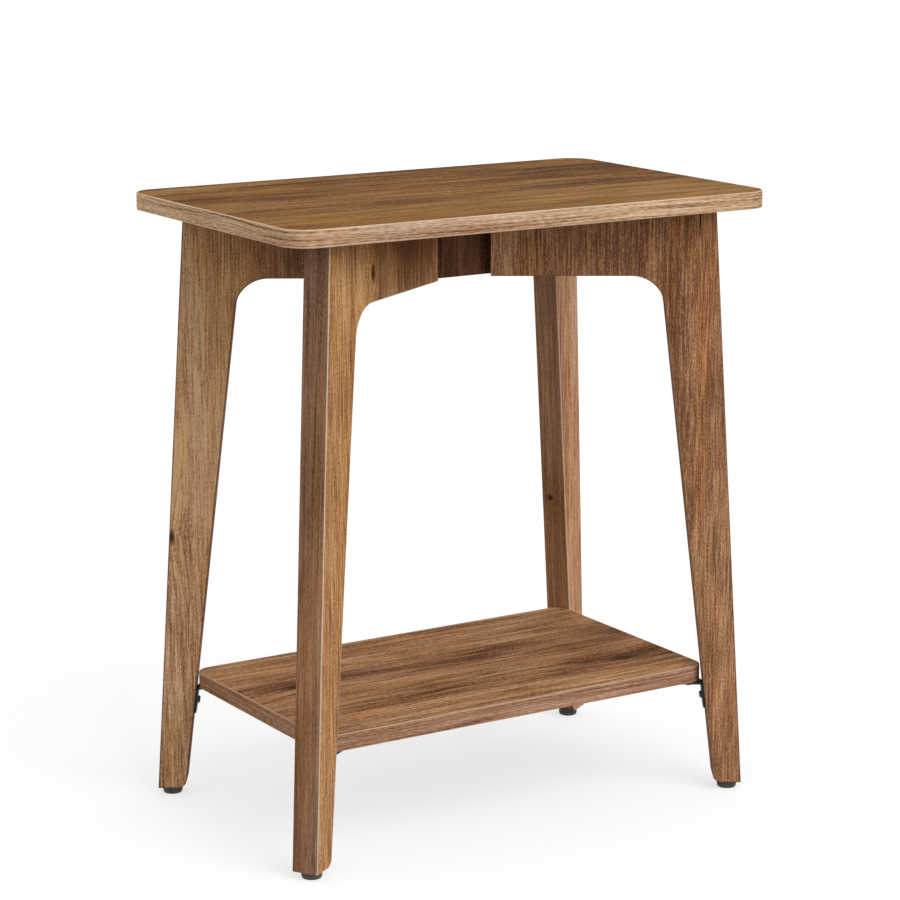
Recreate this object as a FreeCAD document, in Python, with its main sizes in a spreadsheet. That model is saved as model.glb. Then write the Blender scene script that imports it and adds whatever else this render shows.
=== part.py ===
import FreeCAD, Part
import Sketcher
import math
import os

from FreeCAD import Vector

# Side table with a lower shelf, made from banded board and knock-down fittings.
#
# The frame is +Z up, and its origin is on the floor under the middle of the table.
# X runs along the long side and Y along the short side; the front is -Y and the left is -X.
#
# Four flat boards, each shaped like an upside-down L, stand on the two forks of a plan
# like >-<.  The upright of each board is a tapered leg, and its arm, called the wing here,
# runs in under the top to a short centre rail.  A wing's plane is vertical and turned by
# LegAngle from the long side, and the planes of each side's two boards meet ForkOffset
# from the middle.  Distances along a board are measured outwards from that meeting line and
# are called reaches.

# Driving dimensions, in millimetres and degrees.
SIZES = (
    ("TableHeight", 550, "floor to the upper face of the top"),
    ("TopLength", 480, "top, along X"),
    ("TopDepth", 300, "top, along Y"),
    ("TopThickness", 15, "board of the top"),
    ("TopCornerRadius", 24, "top, seen from above"),
    ("ShelfHeight", 116, "floor to the upper face of the shelf"),
    ("ShelfGap", 0.8, "shelf's corner to a leg's inner edge"),
    ("ShelfThickness", 15, "board of the shelf"),
    ("ShelfCornerRadius", 15, "shelf, seen from above"),
    ("BandThickness", 1, "edge banding on every board"),
    ("ArrisBevel", 0.6, "trimmed arrises of the banding"),
    ("LegAngle", 32, "plane of a leg board, from the long side"),
    ("ForkOffset", 13, "middle of the table to where two board planes meet"),
    ("LegThickness", 24, "leg board"),
    ("WingDepth", 60, "height of a wing and of the centre rail"),
    ("WingStart", 24.5, "reach of a wing's inner end"),
    ("OuterReachTop", 222, "reach of a leg's outer edge under the top"),
    ("OuterReachFoot", 254.5, "reach of a leg's outer edge at its foot"),
    ("InnerReachTop", 175, "reach of a leg's inner edge at the wing"),
    ("LegFootWidth", 25, "width of a leg at its foot"),
    ("ArmpitRadius", 30, "inside corner between leg and wing"),
    ("ToeRadius", 8, "inner corner of a leg's foot"),
    ("RailThickness", 18, "centre rail"),
    ("WingBoltReach", 100, "bolt of a wing"),
    ("DowelReach", 200, "dowel over a leg"),
    ("BoltDiameter", 6, "shank of a top bolt"),
    ("BoltHeadDiameter", 12, "head of a top bolt"),
    ("BoltHeadHeight", 3.5, "head of a top bolt"),
    ("BoltSocketWidth", 4, "hexagon socket, across flats"),
    ("BoltSocketDepth", 2.2, "hexagon socket"),
    ("BoltSink", 10, "depth of a bolt head's counterbore"),
    ("BoltBite", 10, "length of a bolt inside its insert nut"),
    ("InsertDiameter", 10, "insert nut in the top"),
    ("InsertLength", 12, "insert nut in the top"),
    ("DowelDiameter", 8, "dowel between wing and top"),
    ("DowelInTop", 10, "dowel length in the top"),
    ("DowelInWing", 20, "dowel length in the wing"),
    ("BracketThickness", 2, "steel strip of a shelf bracket"),
    ("BracketWidth", 16, "steel strip of a shelf bracket"),
    ("BracketLeaf", 25, "length of each leaf, from the bend's outer corner"),
    ("BendRadius", 3.5, "outside of a bracket's bend"),
    ("LeafCornerRadius", 4, "end corners of a leaf"),
    ("ScrewSeat", 13, "screw to the bend's outer corner, along a leaf"),
    ("ScrewDiameter", 3.5, "shank of every wood screw"),
    ("ScrewHeadDiameter", 7, "head of every wood screw"),
    ("ScrewHeadHeight", 2.2, "head of every wood screw"),
    ("BracketScrewLength", 12, "under the head"),
    ("FootScrewLength", 20, "under the head"),
    ("FootDiameter", 18, "round foot"),
    ("FootHeight", 7, "floor to the end of a leg"),
    ("FootChamfer", 1, "lower edge of a foot"),
    ("FootRecess", 3, "depth of the recess for the foot's screw head"),
    ("FootInset", 12, "foot's centre to the leg's outer edge"),
    ("HoleClearance", 0.5, "round a shank or head in its hole, on the radius"),
    ("FitClearance", 0.1, "round a driven screw, insert nut or dowel, on the radius"),
)

# Leg boards by name, with the side of the table that each stands on along X and along Y.
LEGS = (
    ("front_left", -1, -1),
    ("back_left", -1, 1),
    ("front_right", 1, -1),
    ("back_right", 1, 1),
)

doc = FreeCAD.newDocument("side_table")
sheet = doc.addObject("Spreadsheet::Sheet", "Sizes")
for row, (alias, size, note) in enumerate(SIZES, start=1):
    sheet.set(f"A{row}", note)
    sheet.set(f"B{row}", str(size))
    sheet.setAlias(f"B{row}", alias)
doc.recompute()

# Levels and slopes that follow from the sizes, as expressions.
TOP_UNDERSIDE = "(Sizes.TableHeight - Sizes.TopThickness)"
WING_UNDERSIDE = f"({TOP_UNDERSIDE} - Sizes.WingDepth)"
SHELF_UNDERSIDE = "(Sizes.ShelfHeight - Sizes.ShelfThickness)"
BOLT_SEAT = f"({WING_UNDERSIDE} + Sizes.BoltSink)"
FOOT_REACH = "(Sizes.OuterReachFoot - Sizes.FootInset)"
INNER_REACH_FOOT = "(Sizes.OuterReachFoot - Sizes.LegFootWidth)"
INNER_SLOPE = f"(({INNER_REACH_FOOT} - Sizes.InnerReachTop) / ({WING_UNDERSIDE} - Sizes.FootHeight))"
OUTER_SLOPE = f"((Sizes.OuterReachFoot - Sizes.OuterReachTop) / ({TOP_UNDERSIDE} - Sizes.FootHeight))"
INNER_LEAN = f"atan({INNER_SLOPE})"
COS_LEAN = f"cos({INNER_LEAN})"
SIN_LEAN = f"sin({INNER_LEAN})"
COUNTERBORE = "(Sizes.BoltHeadDiameter + 2 * Sizes.HoleClearance)"
BOLT_HOLE = "(Sizes.BoltDiameter + 2 * Sizes.HoleClearance)"
SCREW_HOLE = "(Sizes.ScrewDiameter + 2 * Sizes.HoleClearance)"
PILOT_HOLE = "(Sizes.ScrewDiameter + 2 * Sizes.FitClearance)"
DOWEL_HOLE = "(Sizes.DowelDiameter + 2 * Sizes.FitClearance)"
INSERT_HOLE = "(Sizes.InsertDiameter + 2 * Sizes.FitClearance)"

nodes = []


# ---------------------------------------------------------------- helpers


def number(expression):
    """Value of an expression on the sheet's sizes."""
    result = sheet.evalExpression(str(expression))
    return float(getattr(result, "Value", result))


def new_body(label):
    """Empty body that becomes the node of that name."""
    body = doc.addObject("PartDesign::Body", label)
    body.Label = label
    nodes.append(body)
    return body


def new_sketch(body, role, level=None):
    """Sketch on one of the body's own origin planes, raised to a level where one is given."""
    sketch = body.newObject("Sketcher::SketchObject", f"{body.Name}_sketch")
    plane = next(item for item in body.Origin.OriginFeatures if item.Role == role)
    sketch.AttachmentSupport = [(plane, "")]
    sketch.MapMode = "FlatFace"
    if level is not None:
        sketch.setExpression("AttachmentOffset.Base.z", level)
    return sketch


def dimension(sketch, kind, *place, size):
    """Adds a dimension to a sketch and ties it to an expression."""
    index = sketch.addConstraint(Sketcher.Constraint(kind, *place, number(size)))
    sketch.setExpression(f"Constraints[{index}]", str(size))


def pin_point(sketch, geometry, point, x, y):
    """Fixes a point of a sketch by its two coordinates."""
    dimension(sketch, "DistanceX", geometry, point, size=x)
    dimension(sketch, "DistanceY", geometry, point, size=y)


def draw_circle(sketch, x, y, diameter):
    """Circle by its centre and diameter."""
    centre = Vector(number(x), number(y), 0)
    circle = sketch.addGeometry(Part.Circle(centre, Vector(0, 0, 1), number(diameter) / 2), False)
    pin_point(sketch, circle, 3, x, y)
    dimension(sketch, "Diameter", circle, size=diameter)


def corner_arc(before, corner, after, radius):
    """Arc that rounds a corner: its entry point, exit point, shape and direction of turn."""
    into = (corner - before).normalize()
    out = (after - corner).normalize()
    turn = into.getAngle(out)
    left = into.cross(out).z > 0
    entry = corner - into * (radius * math.tan(turn / 2))
    leave = corner + out * (radius * math.tan(turn / 2))
    side = Vector(-into.y, into.x, 0) if left else Vector(into.y, -into.x, 0)
    centre = entry + side * radius
    start, end = (entry, leave) if left else (leave, entry)
    first = math.atan2(start.y - centre.y, start.x - centre.x)
    last = math.atan2(end.y - centre.y, end.x - centre.x)
    if last < first:
        last += 2 * math.pi
    circle = Part.Circle(centre, Vector(0, 0, 1), radius)
    return entry, leave, Part.ArcOfCircle(circle, first, last), left


def draw_loop(sketch, corners):
    """Closed loop of lines and tangent arcs.

    Each corner is (x, y) where it is sharp and (x, y, radius) where it is round, and all
    three are expressions.
    """
    points = [Vector(number(corner[0]), number(corner[1]), 0) for corner in corners]
    count = len(points)
    rounds = {}
    for i, corner in enumerate(corners):
        if len(corner) == 3:
            after = points[(i + 1) % count]
            rounds[i] = corner_arc(points[i - 1], points[i], after, number(corner[2]))
    first_side = sketch.GeometryCount
    for i in range(count):
        following = (i + 1) % count
        start = rounds[i][1] if i in rounds else points[i]
        end = rounds[following][0] if following in rounds else points[following]
        sketch.addGeometry(Part.LineSegment(start, end), False)
    for i, corner in enumerate(corners):
        side_in = first_side + (i - 1) % count
        side_out = first_side + i
        if i not in rounds:
            sketch.addConstraint(Sketcher.Constraint("Coincident", side_in, 2, side_out, 1))
            pin_point(sketch, side_out, 1, corner[0], corner[1])
            continue
        arc_shape, left = rounds[i][2:]
        arc = sketch.addGeometry(arc_shape, False)
        arc_in, arc_out = (1, 2) if left else (2, 1)
        sketch.addConstraint(Sketcher.Constraint("Tangent", side_in, 2, arc, arc_in))
        sketch.addConstraint(Sketcher.Constraint("Tangent", arc, arc_out, side_out, 1))
        dimension(sketch, "Radius", arc, size=corner[2])
        apex = sketch.addGeometry(Part.Point(points[i]), True)
        sketch.addConstraint(Sketcher.Constraint("PointOnObject", apex, 1, side_in))
        sketch.addConstraint(Sketcher.Constraint("PointOnObject", apex, 1, side_out))
        pin_point(sketch, apex, 1, corner[0], corner[1])


def pad(body, sketch, length, symmetric=False):
    """Pads a sketch along its normal, or half each way."""
    feature = body.newObject("PartDesign::Pad", f"{body.Name}_pad")
    feature.Profile = sketch
    if symmetric:
        feature.SideType = "Symmetric"
    feature.setExpression("Length", length)
    doc.recompute()
    return feature


def cut(body, feature):
    """Recomputes a cutting feature and stops if it took nothing off its body."""
    before = feature.BaseFeature.Shape.Volume
    doc.recompute()
    if feature.Shape.isNull() or feature.Shape.Volume > before - 1e-3:
        raise RuntimeError(f"{feature.Name} of {body.Label} cuts nothing")
    return feature


def pocket_up(body, sketch, depth=None):
    """Pocket from a horizontal sketch upwards, to a depth or right through."""
    feature = body.newObject("PartDesign::Pocket", f"{body.Name}_pocket")
    feature.Profile = sketch
    feature.Reversed = True
    if depth is None:
        feature.Type = "ThroughAll"
    else:
        feature.setExpression("Length", depth)
    return cut(body, feature)


def pocket_down(body, sketch, depth):
    """Pocket from a horizontal sketch downwards to a depth."""
    feature = body.newObject("PartDesign::Pocket", f"{body.Name}_pocket")
    feature.Profile = sketch
    feature.setExpression("Length", depth)
    return cut(body, feature)


def pocket_both(body, sketch):
    """Pocket right through on both sides of the sketch."""
    feature = body.newObject("PartDesign::Pocket", f"{body.Name}_pocket")
    feature.Profile = sketch
    feature.SideType = "Symmetric"
    feature.Type = "ThroughAll"
    return cut(body, feature)


def revolve(body, sketch):
    """Turns a half section round the sketch's upright axis."""
    feature = body.newObject("PartDesign::Revolution", f"{body.Name}_turned")
    feature.Profile = sketch
    feature.ReferenceAxis = (sketch, ["V_Axis"])
    feature.Angle = 360
    doc.recompute()
    return feature


def fillet(body, base, names, radius):
    """Rounds the named edges of a feature."""
    feature = body.newObject("PartDesign::Fillet", f"{body.Name}_fillet")
    feature.Base = (base, names)
    feature.setExpression("Radius", radius)
    doc.recompute()
    return feature


def bevel(body, base, names, size):
    """Bevels the named edges of a feature."""
    feature = body.newObject("PartDesign::Chamfer", f"{body.Name}_bevel")
    feature.Base = (base, names)
    feature.setExpression("Size", size)
    doc.recompute()
    return feature


def edge_names(shape, wanted):
    """Names of the edges whose middle point passes a test."""
    names = []
    for index, edge in enumerate(shape.Edges, start=1):
        middle = edge.valueAt((edge.FirstParameter + edge.LastParameter) / 2)
        if wanted(edge, middle):
            names.append(f"Edge{index}")
    return names


def group(label, members):
    """Node that holds several separate solids."""
    node = doc.addObject("Part::Compound", label)
    node.Label = label
    node.Links = members
    nodes.append(node)
    return node


NO_TURN = "rotation(vector(0; 0; 1); 0)"


def place(item, vector, rotation=NO_TURN):
    """Places an object by expressions for its position and turn."""
    item.setExpression("Placement", f"placement({vector}; {rotation})")


def heading(side_x, side_y):
    """Rotation of a leg board's frame, whose X axis runs outwards along the board."""
    turn = f"{side_y} * Sizes.LegAngle" if side_x > 0 else f"180 - {side_y} * Sizes.LegAngle"
    return f"rotation(vector(0; 0; 1); {turn})"


def place_on_leg(item, side_x, side_y):
    """Places an object that is drawn in a leg board's own frame."""
    place(item, f"vector({side_x} * Sizes.ForkOffset; 0; 0)", heading(side_x, side_y))


def on_plan(side_x, side_y, reach):
    """Table coordinates of a reach along a leg board."""
    x = f"{side_x} * (Sizes.ForkOffset + {reach} * cos(Sizes.LegAngle))"
    y = f"{side_y} * ({reach} * sin(Sizes.LegAngle))"
    return x, y


def inner_edge(level, inset="0"):
    """Reach of a leg's inner edge at a level, moved into the board by an inset."""
    return f"(Sizes.InnerReachTop + ({WING_UNDERSIDE} - {level}) * {INNER_SLOPE} + {inset} / {COS_LEAN})"


def outer_edge(level, inset="0"):
    """Reach of a leg's outer edge at a level, moved into the board by an inset."""
    stretch = f"sqrt(1 + {OUTER_SLOPE} ^ 2)"
    return f"(Sizes.OuterReachTop + ({TOP_UNDERSIDE} - {level}) * {OUTER_SLOPE} - {inset} * {stretch})"


SHELF_SCREW_REACH = f"({inner_edge(SHELF_UNDERSIDE)} - Sizes.ScrewSeat)"


# ---------------------------------------------------------------- flat boards


# Half length, half depth and corner radius of each board.  The shelf's sharp corners lie on the
# planes of the leg boards, and its rounded ones end ShelfGap from the legs' inner edges.
TOP_OUTLINE = ("Sizes.TopLength / 2", "Sizes.TopDepth / 2", "Sizes.TopCornerRadius")
SHELF_ROUNDING = "Sizes.ShelfCornerRadius * (cos(Sizes.LegAngle) + sin(Sizes.LegAngle) - 1)"
SHELF_CORNER_REACH = f"({inner_edge('Sizes.ShelfHeight')} - Sizes.ShelfGap + {SHELF_ROUNDING})"
SHELF_OUTLINE = (*on_plan(1, 1, SHELF_CORNER_REACH), "Sizes.ShelfCornerRadius")


def rounded_rectangle(half_length, half_depth, radius, inset="0"):
    """Corners of a rectangle about the origin with round corners, moved in by an inset."""
    x = f"({half_length} - {inset})"
    y = f"({half_depth} - {inset})"
    r = f"({radius} - {inset})"
    return [(f"-{x}", f"-{y}", r), (x, f"-{y}", r), (x, y, r), (f"-{x}", y, r)]


def board_core(label, outline, level, thickness):
    """Rectangular board inside its edge banding."""
    body = new_body(label)
    sketch = new_sketch(body, "XY_Plane", level)
    draw_loop(sketch, rounded_rectangle(*outline, "Sizes.BandThickness"))
    pad(body, sketch, thickness)
    return body


def board_band(label, outline, level, thickness):
    """Banding round a rectangular board, with its arrises trimmed."""
    body = new_body(label)
    blank_sketch = new_sketch(body, "XY_Plane", level)
    draw_loop(blank_sketch, rounded_rectangle(*outline))
    blank = pad(body, blank_sketch, thickness)
    flat = edge_names(blank.Shape, lambda edge, middle: abs(edge.tangentAt(edge.FirstParameter).z) < 0.5)
    bevel(body, blank, flat, "Sizes.ArrisBevel")
    core_sketch = new_sketch(body, "XY_Plane", level)
    draw_loop(core_sketch, rounded_rectangle(*outline, "Sizes.BandThickness"))
    pocket_up(body, core_sketch)
    return body


def make_top():
    """Top, bored on its underside for the insert nuts and dowels, and its banding."""
    board = (TOP_OUTLINE, TOP_UNDERSIDE, "Sizes.TopThickness")
    body = board_core("top_panel", *board)
    inserts = new_sketch(body, "XY_Plane", TOP_UNDERSIDE)
    dowels = new_sketch(body, "XY_Plane", TOP_UNDERSIDE)
    draw_circle(inserts, "0", "0", INSERT_HOLE)
    for _, side_x, side_y in LEGS:
        draw_circle(inserts, *on_plan(side_x, side_y, "Sizes.WingBoltReach"), INSERT_HOLE)
        draw_circle(dowels, *on_plan(side_x, side_y, "Sizes.DowelReach"), DOWEL_HOLE)
    pocket_up(body, inserts, "Sizes.InsertLength")
    pocket_up(body, dowels, "Sizes.DowelInTop + Sizes.HoleClearance")
    board_band("top_edge_band", *board)


def make_shelf():
    """Shelf, with pilot holes for the bracket screws, and its banding."""
    board = (SHELF_OUTLINE, SHELF_UNDERSIDE, "Sizes.ShelfThickness")
    body = board_core("shelf_panel", *board)
    pilots = new_sketch(body, "XY_Plane", SHELF_UNDERSIDE)
    for _, side_x, side_y in LEGS:
        draw_circle(pilots, *on_plan(side_x, side_y, SHELF_SCREW_REACH), PILOT_HOLE)
    pocket_up(body, pilots, "Sizes.BracketScrewLength - Sizes.BracketThickness + Sizes.HoleClearance")
    board_band("shelf_edge_band", *board)


# ---------------------------------------------------------------- legs and rail


def banded_corners(inset):
    """Corners of a leg board's banded edge, from the wing's inner end to under the top."""
    under_wing = f"({WING_UNDERSIDE} + {inset})"
    foot = f"(Sizes.FootHeight + {inset})"
    return [
        ("Sizes.WingStart", under_wing),
        (inner_edge(under_wing, inset), under_wing, f"(Sizes.ArmpitRadius + {inset})"),
        (inner_edge(foot, inset), foot, f"(Sizes.ToeRadius - {inset})"),
        (outer_edge(foot, inset), foot),
        (outer_edge(TOP_UNDERSIDE, inset), TOP_UNDERSIDE),
    ]


def leg_board(body, inset):
    """Pads the outline of a leg board, moved in by an inset where it is banded."""
    sketch = new_sketch(body, "XZ_Plane")
    draw_loop(sketch, [("Sizes.WingStart", TOP_UNDERSIDE)] + banded_corners(inset))
    return pad(body, sketch, "Sizes.LegThickness", symmetric=True)


def bore_counterbore(body, reach):
    """Counterbore for a bolt's head, up from the level of the wings' underside."""
    sketch = new_sketch(body, "XY_Plane", WING_UNDERSIDE)
    draw_circle(sketch, reach, "0", COUNTERBORE)
    pocket_up(body, sketch, "Sizes.BoltSink")


def bore_bolt_hole(body, reach):
    """Hole for a bolt's shank, right through from the level of the wings' underside."""
    sketch = new_sketch(body, "XY_Plane", WING_UNDERSIDE)
    draw_circle(sketch, reach, "0", BOLT_HOLE)
    pocket_up(body, sketch)


def bore_screw_pilots(body):
    """Pilot holes for the foot's screw and for the bracket's screw in the inner edge."""
    foot = new_sketch(body, "XY_Plane", "Sizes.FootHeight")
    draw_circle(foot, FOOT_REACH, "0", PILOT_HOLE)
    pocket_up(body, foot, "Sizes.FootScrewLength + Sizes.FootRecess - Sizes.FootHeight + Sizes.HoleClearance")
    hole = body.newObject("PartDesign::SubtractiveCylinder", f"{body.Name}_bracket_pilot")
    hole.setExpression("Radius", f"{PILOT_HOLE} / 2")
    hole.setExpression("Height", "Sizes.BracketScrewLength + Sizes.HoleClearance")
    place(hole, LEAF_SCREW_SEAT, LEAF_SCREW_TURN)
    cut(body, hole)


def make_leg(name, side_x, side_y):
    """Leg board: leg and wing in one piece."""
    body = new_body(f"leg_{name}")
    leg_board(body, "Sizes.BandThickness")
    bore_counterbore(body, "Sizes.WingBoltReach")
    bore_bolt_hole(body, "Sizes.WingBoltReach")
    dowel = new_sketch(body, "XY_Plane", TOP_UNDERSIDE)
    draw_circle(dowel, "Sizes.DowelReach", "0", DOWEL_HOLE)
    pocket_down(body, dowel, "Sizes.DowelInWing")
    bore_screw_pilots(body)
    place_on_leg(body, side_x, side_y)


def make_leg_band(name, side_x, side_y):
    """Banding of a leg board, from the wing's inner end round the foot and up to the top."""
    body = new_body(f"leg_edge_band_{name}")
    blank = leg_board(body, "0")
    start = number("Sizes.WingStart")
    ceiling = number(TOP_UNDERSIDE)

    def is_arris(edge, middle):
        flat = abs(edge.tangentAt(edge.FirstParameter).y) < 0.5
        return flat and middle.x > start + 0.01 and middle.z < ceiling - 0.01

    bevel(body, blank, edge_names(blank.Shape, is_arris), "Sizes.ArrisBevel")
    core_sketch = new_sketch(body, "XZ_Plane")
    draw_loop(core_sketch, [("Sizes.WingStart", TOP_UNDERSIDE)] + banded_corners("Sizes.BandThickness"))
    pocket_both(body, core_sketch)
    bore_counterbore(body, "Sizes.WingBoltReach")
    bore_screw_pilots(body)
    place_on_leg(body, side_x, side_y)


def rail_outline():
    """Plan of the centre rail: two pointed ends whose facets meet the wings' ends."""
    half = "Sizes.RailThickness / 2"
    apex = "(Sizes.ForkOffset + Sizes.WingStart / cos(Sizes.LegAngle))"
    shoulder = (
        f"(Sizes.ForkOffset + (Sizes.WingStart - {half} * sin(Sizes.LegAngle)) / cos(Sizes.LegAngle))"
    )
    return [
        (f"-{shoulder}", f"-{half}"),
        (shoulder, f"-{half}"),
        (apex, "0"),
        (shoulder, half),
        (f"-{shoulder}", half),
        (f"-{apex}", "0"),
    ]


def rail_slice(label, bottom, height):
    """Slice of the centre rail from a level up, with its bolt's counterbore."""
    body = new_body(label)
    sketch = new_sketch(body, "XY_Plane", bottom)
    draw_loop(sketch, rail_outline())
    pad(body, sketch, height)
    bore_counterbore(body, "0")
    return body


def make_rail():
    """Centre rail between the wings, and the banding under it."""
    band = "Sizes.BandThickness"
    body = rail_slice("centre_rail", f"{WING_UNDERSIDE} + {band}", f"Sizes.WingDepth - {band}")
    bore_bolt_hole(body, "0")
    rail_slice("centre_rail_edge_band", WING_UNDERSIDE, band)


# ---------------------------------------------------------------- brackets

# In a leg board's frame, the inner edge meets the shelf's underside at the bracket's corner.
BRACKET_CORNER = inner_edge(SHELF_UNDERSIDE)


def down_the_edge(along, out):
    """Point from the bracket's corner down a leg's inner edge and off it towards the shelf."""
    x = f"({BRACKET_CORNER} + {along} * {SIN_LEAN} - {out} * {COS_LEAN})"
    z = f"({SHELF_UNDERSIDE} - {along} * {COS_LEAN} - {out} * {SIN_LEAN})"
    return x, z


LEAF_SCREW_SEAT = "vector({}; 0; {})".format(*down_the_edge("Sizes.ScrewSeat", "Sizes.BracketThickness"))
LEAF_SCREW_TURN = f"rotation(vector(0; 1; 0); 90 deg - {INNER_LEAN})"


def make_bracket(name, side_x, side_y):
    """Bent strip: one leaf under the shelf's corner and one down the leg's inner edge."""
    body = new_body(f"shelf_bracket_{name}")
    thickness = "Sizes.BracketThickness"
    leaf_end = f"({BRACKET_CORNER} - Sizes.BracketLeaf)"
    leaf_underside = f"({SHELF_UNDERSIDE} - {thickness})"
    inner_corner = f"({inner_edge(leaf_underside)} - {thickness} / {COS_LEAN})"
    sketch = new_sketch(body, "XZ_Plane")
    draw_loop(
        sketch,
        [
            (BRACKET_CORNER, SHELF_UNDERSIDE, "Sizes.BendRadius"),
            (leaf_end, SHELF_UNDERSIDE),
            (leaf_end, leaf_underside),
            (inner_corner, leaf_underside, f"(Sizes.BendRadius - {thickness})"),
            down_the_edge("Sizes.BracketLeaf", thickness),
            down_the_edge("Sizes.BracketLeaf", "0"),
        ],
    )
    strip = pad(body, sketch, "Sizes.BracketWidth", symmetric=True)
    shelf_end = number(leaf_end)
    leg_end = number(down_the_edge("Sizes.BracketLeaf", f"{thickness} / 2")[1])
    edge_reach = number("Sizes.BracketWidth") / 2 - 0.01

    def is_leaf_corner(edge, middle):
        at_shelf_end = abs(middle.x - shelf_end) < 0.01
        at_leg_end = abs(middle.z - leg_end) < 0.01
        return abs(middle.y) > edge_reach and (at_shelf_end or at_leg_end)

    fillet(body, strip, edge_names(strip.Shape, is_leaf_corner), "Sizes.LeafCornerRadius")
    hole = new_sketch(body, "XY_Plane", leaf_underside)
    draw_circle(hole, SHELF_SCREW_REACH, "0", SCREW_HOLE)
    pocket_up(body, hole)
    leg_hole = body.newObject("PartDesign::SubtractiveCylinder", f"{body.Name}_leg_hole")
    leg_hole.setExpression("Radius", f"{SCREW_HOLE} / 2")
    leg_hole.setExpression("Height", thickness)
    place(leg_hole, LEAF_SCREW_SEAT, LEAF_SCREW_TURN)
    cut(body, leg_hole)
    place_on_leg(body, side_x, side_y)


# ---------------------------------------------------------------- fasteners and feet


def fastener(label, corners):
    """Turned fastener about its own Z axis, with the seat of its head at the origin."""
    body = doc.addObject("PartDesign::Body", label)
    sketch = new_sketch(body, "XZ_Plane")
    draw_loop(sketch, corners)
    revolve(body, sketch)
    return body


def wood_screw(label, length):
    """Wood screw that points up, with its head below the origin."""
    shank = "Sizes.ScrewDiameter / 2"
    head = "Sizes.ScrewHeadDiameter / 2"
    return fastener(
        label,
        [
            ("0", "-Sizes.ScrewHeadHeight"),
            (head, "-Sizes.ScrewHeadHeight"),
            (head, "0"),
            (shank, "0"),
            (shank, length),
            ("0", length),
        ],
    )


def copies(source, spots):
    """Links to one object, each at its own position and turn."""
    links = []
    for index, (vector, rotation) in enumerate(spots):
        link = doc.addObject("App::Link", f"{source.Name}_{index}")
        link.LinkedObject = source
        place(link, vector, rotation)
        links.append(link)
    return links


def make_bracket_screws():
    """Two screws to a bracket: one up into the shelf and one into the leg."""
    screw = wood_screw("bracket_screw", "Sizes.BracketScrewLength")
    up = f"vector({SHELF_SCREW_REACH}; 0; {SHELF_UNDERSIDE} - Sizes.BracketThickness)"
    pair = doc.addObject("Part::Compound", "bracket_screw_pair")
    pair.Links = copies(screw, [(up, NO_TURN), (LEAF_SCREW_SEAT, LEAF_SCREW_TURN)])
    spots = [(f"vector({x} * Sizes.ForkOffset; 0; 0)", heading(x, y)) for _, x, y in LEGS]
    group("bracket_screws", copies(pair, spots))


def bolt_spots(level):
    """Where the top's bolts and insert nuts stand, at a level."""
    spots = [(f"vector(0; 0; {level})", NO_TURN)]
    for _, side_x, side_y in LEGS:
        x, y = on_plan(side_x, side_y, "Sizes.WingBoltReach")
        spots.append((f"vector({x}; {y}; {level})", heading(side_x, side_y)))
    return spots


def make_top_bolts():
    """Bolts that hold the wings and the rail up against the top."""
    shank = "Sizes.BoltDiameter / 2"
    head = "Sizes.BoltHeadDiameter / 2"
    length = "(Sizes.WingDepth - Sizes.BoltSink + Sizes.BoltBite)"
    bolt = fastener(
        "top_bolt",
        [
            ("0", "-Sizes.BoltHeadHeight"),
            (head, "-Sizes.BoltHeadHeight"),
            (head, "0"),
            (shank, "0"),
            (shank, length),
            ("0", length),
        ],
    )
    socket = new_sketch(bolt, "XY_Plane", "-Sizes.BoltHeadHeight")
    corner = "Sizes.BoltSocketWidth / 2 / cos(30)"
    draw_loop(socket, [(f"{corner} * cos({60 * k})", f"{corner} * sin({60 * k})") for k in range(6)])
    pocket_up(bolt, socket, "Sizes.BoltSocketDepth")
    group("top_bolts", copies(bolt, bolt_spots(BOLT_SEAT)))


def make_insert_nuts():
    """Insert nuts in the top's underside."""
    bore = "Sizes.BoltDiameter / 2 + Sizes.FitClearance"
    outside = "Sizes.InsertDiameter / 2"
    insert = fastener(
        "insert_nut",
        [(bore, "0"), (outside, "0"), (outside, "Sizes.InsertLength"), (bore, "Sizes.InsertLength")],
    )
    group("insert_nuts", copies(insert, bolt_spots(TOP_UNDERSIDE)))


def make_dowels():
    """Dowels that line the wings up with the top."""
    length = "Sizes.DowelInWing + Sizes.DowelInTop"
    radius = "Sizes.DowelDiameter / 2"
    dowel = fastener("wing_dowel", [("0", "0"), (radius, "0"), (radius, length), ("0", length)])
    spots = []
    for _, side_x, side_y in LEGS:
        x, y = on_plan(side_x, side_y, "Sizes.DowelReach")
        spots.append((f"vector({x}; {y}; {TOP_UNDERSIDE} - Sizes.DowelInWing)", NO_TURN))
    group("wing_dowels", copies(dowel, spots))


def make_foot(name, side_x, side_y):
    """Round foot with a recess for its screw's head."""
    body = new_body(f"foot_{name}")
    radius = "Sizes.FootDiameter / 2"
    hole = f"{SCREW_HOLE} / 2"
    recess = "Sizes.ScrewHeadDiameter / 2 + Sizes.HoleClearance"
    sketch = new_sketch(body, "XZ_Plane")
    draw_loop(
        sketch,
        [
            (recess, "0"),
            (f"{radius} - Sizes.FootChamfer", "0"),
            (radius, "Sizes.FootChamfer"),
            (radius, "Sizes.FootHeight"),
            (hole, "Sizes.FootHeight"),
            (hole, "Sizes.FootRecess"),
            (recess, "Sizes.FootRecess"),
        ],
    )
    revolve(body, sketch)
    x, y = on_plan(side_x, side_y, FOOT_REACH)
    place(body, f"vector({x}; {y}; 0)")


def make_foot_screws():
    """Screws that hold the feet, each with its head up inside its foot."""
    screw = wood_screw("foot_screw", "Sizes.FootScrewLength")
    spots = []
    for _, side_x, side_y in LEGS:
        x, y = on_plan(side_x, side_y, FOOT_REACH)
        spots.append((f"vector({x}; {y}; Sizes.FootRecess)", NO_TURN))
    group("foot_screws", copies(screw, spots))


# ---------------------------------------------------------------- assembly


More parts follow.
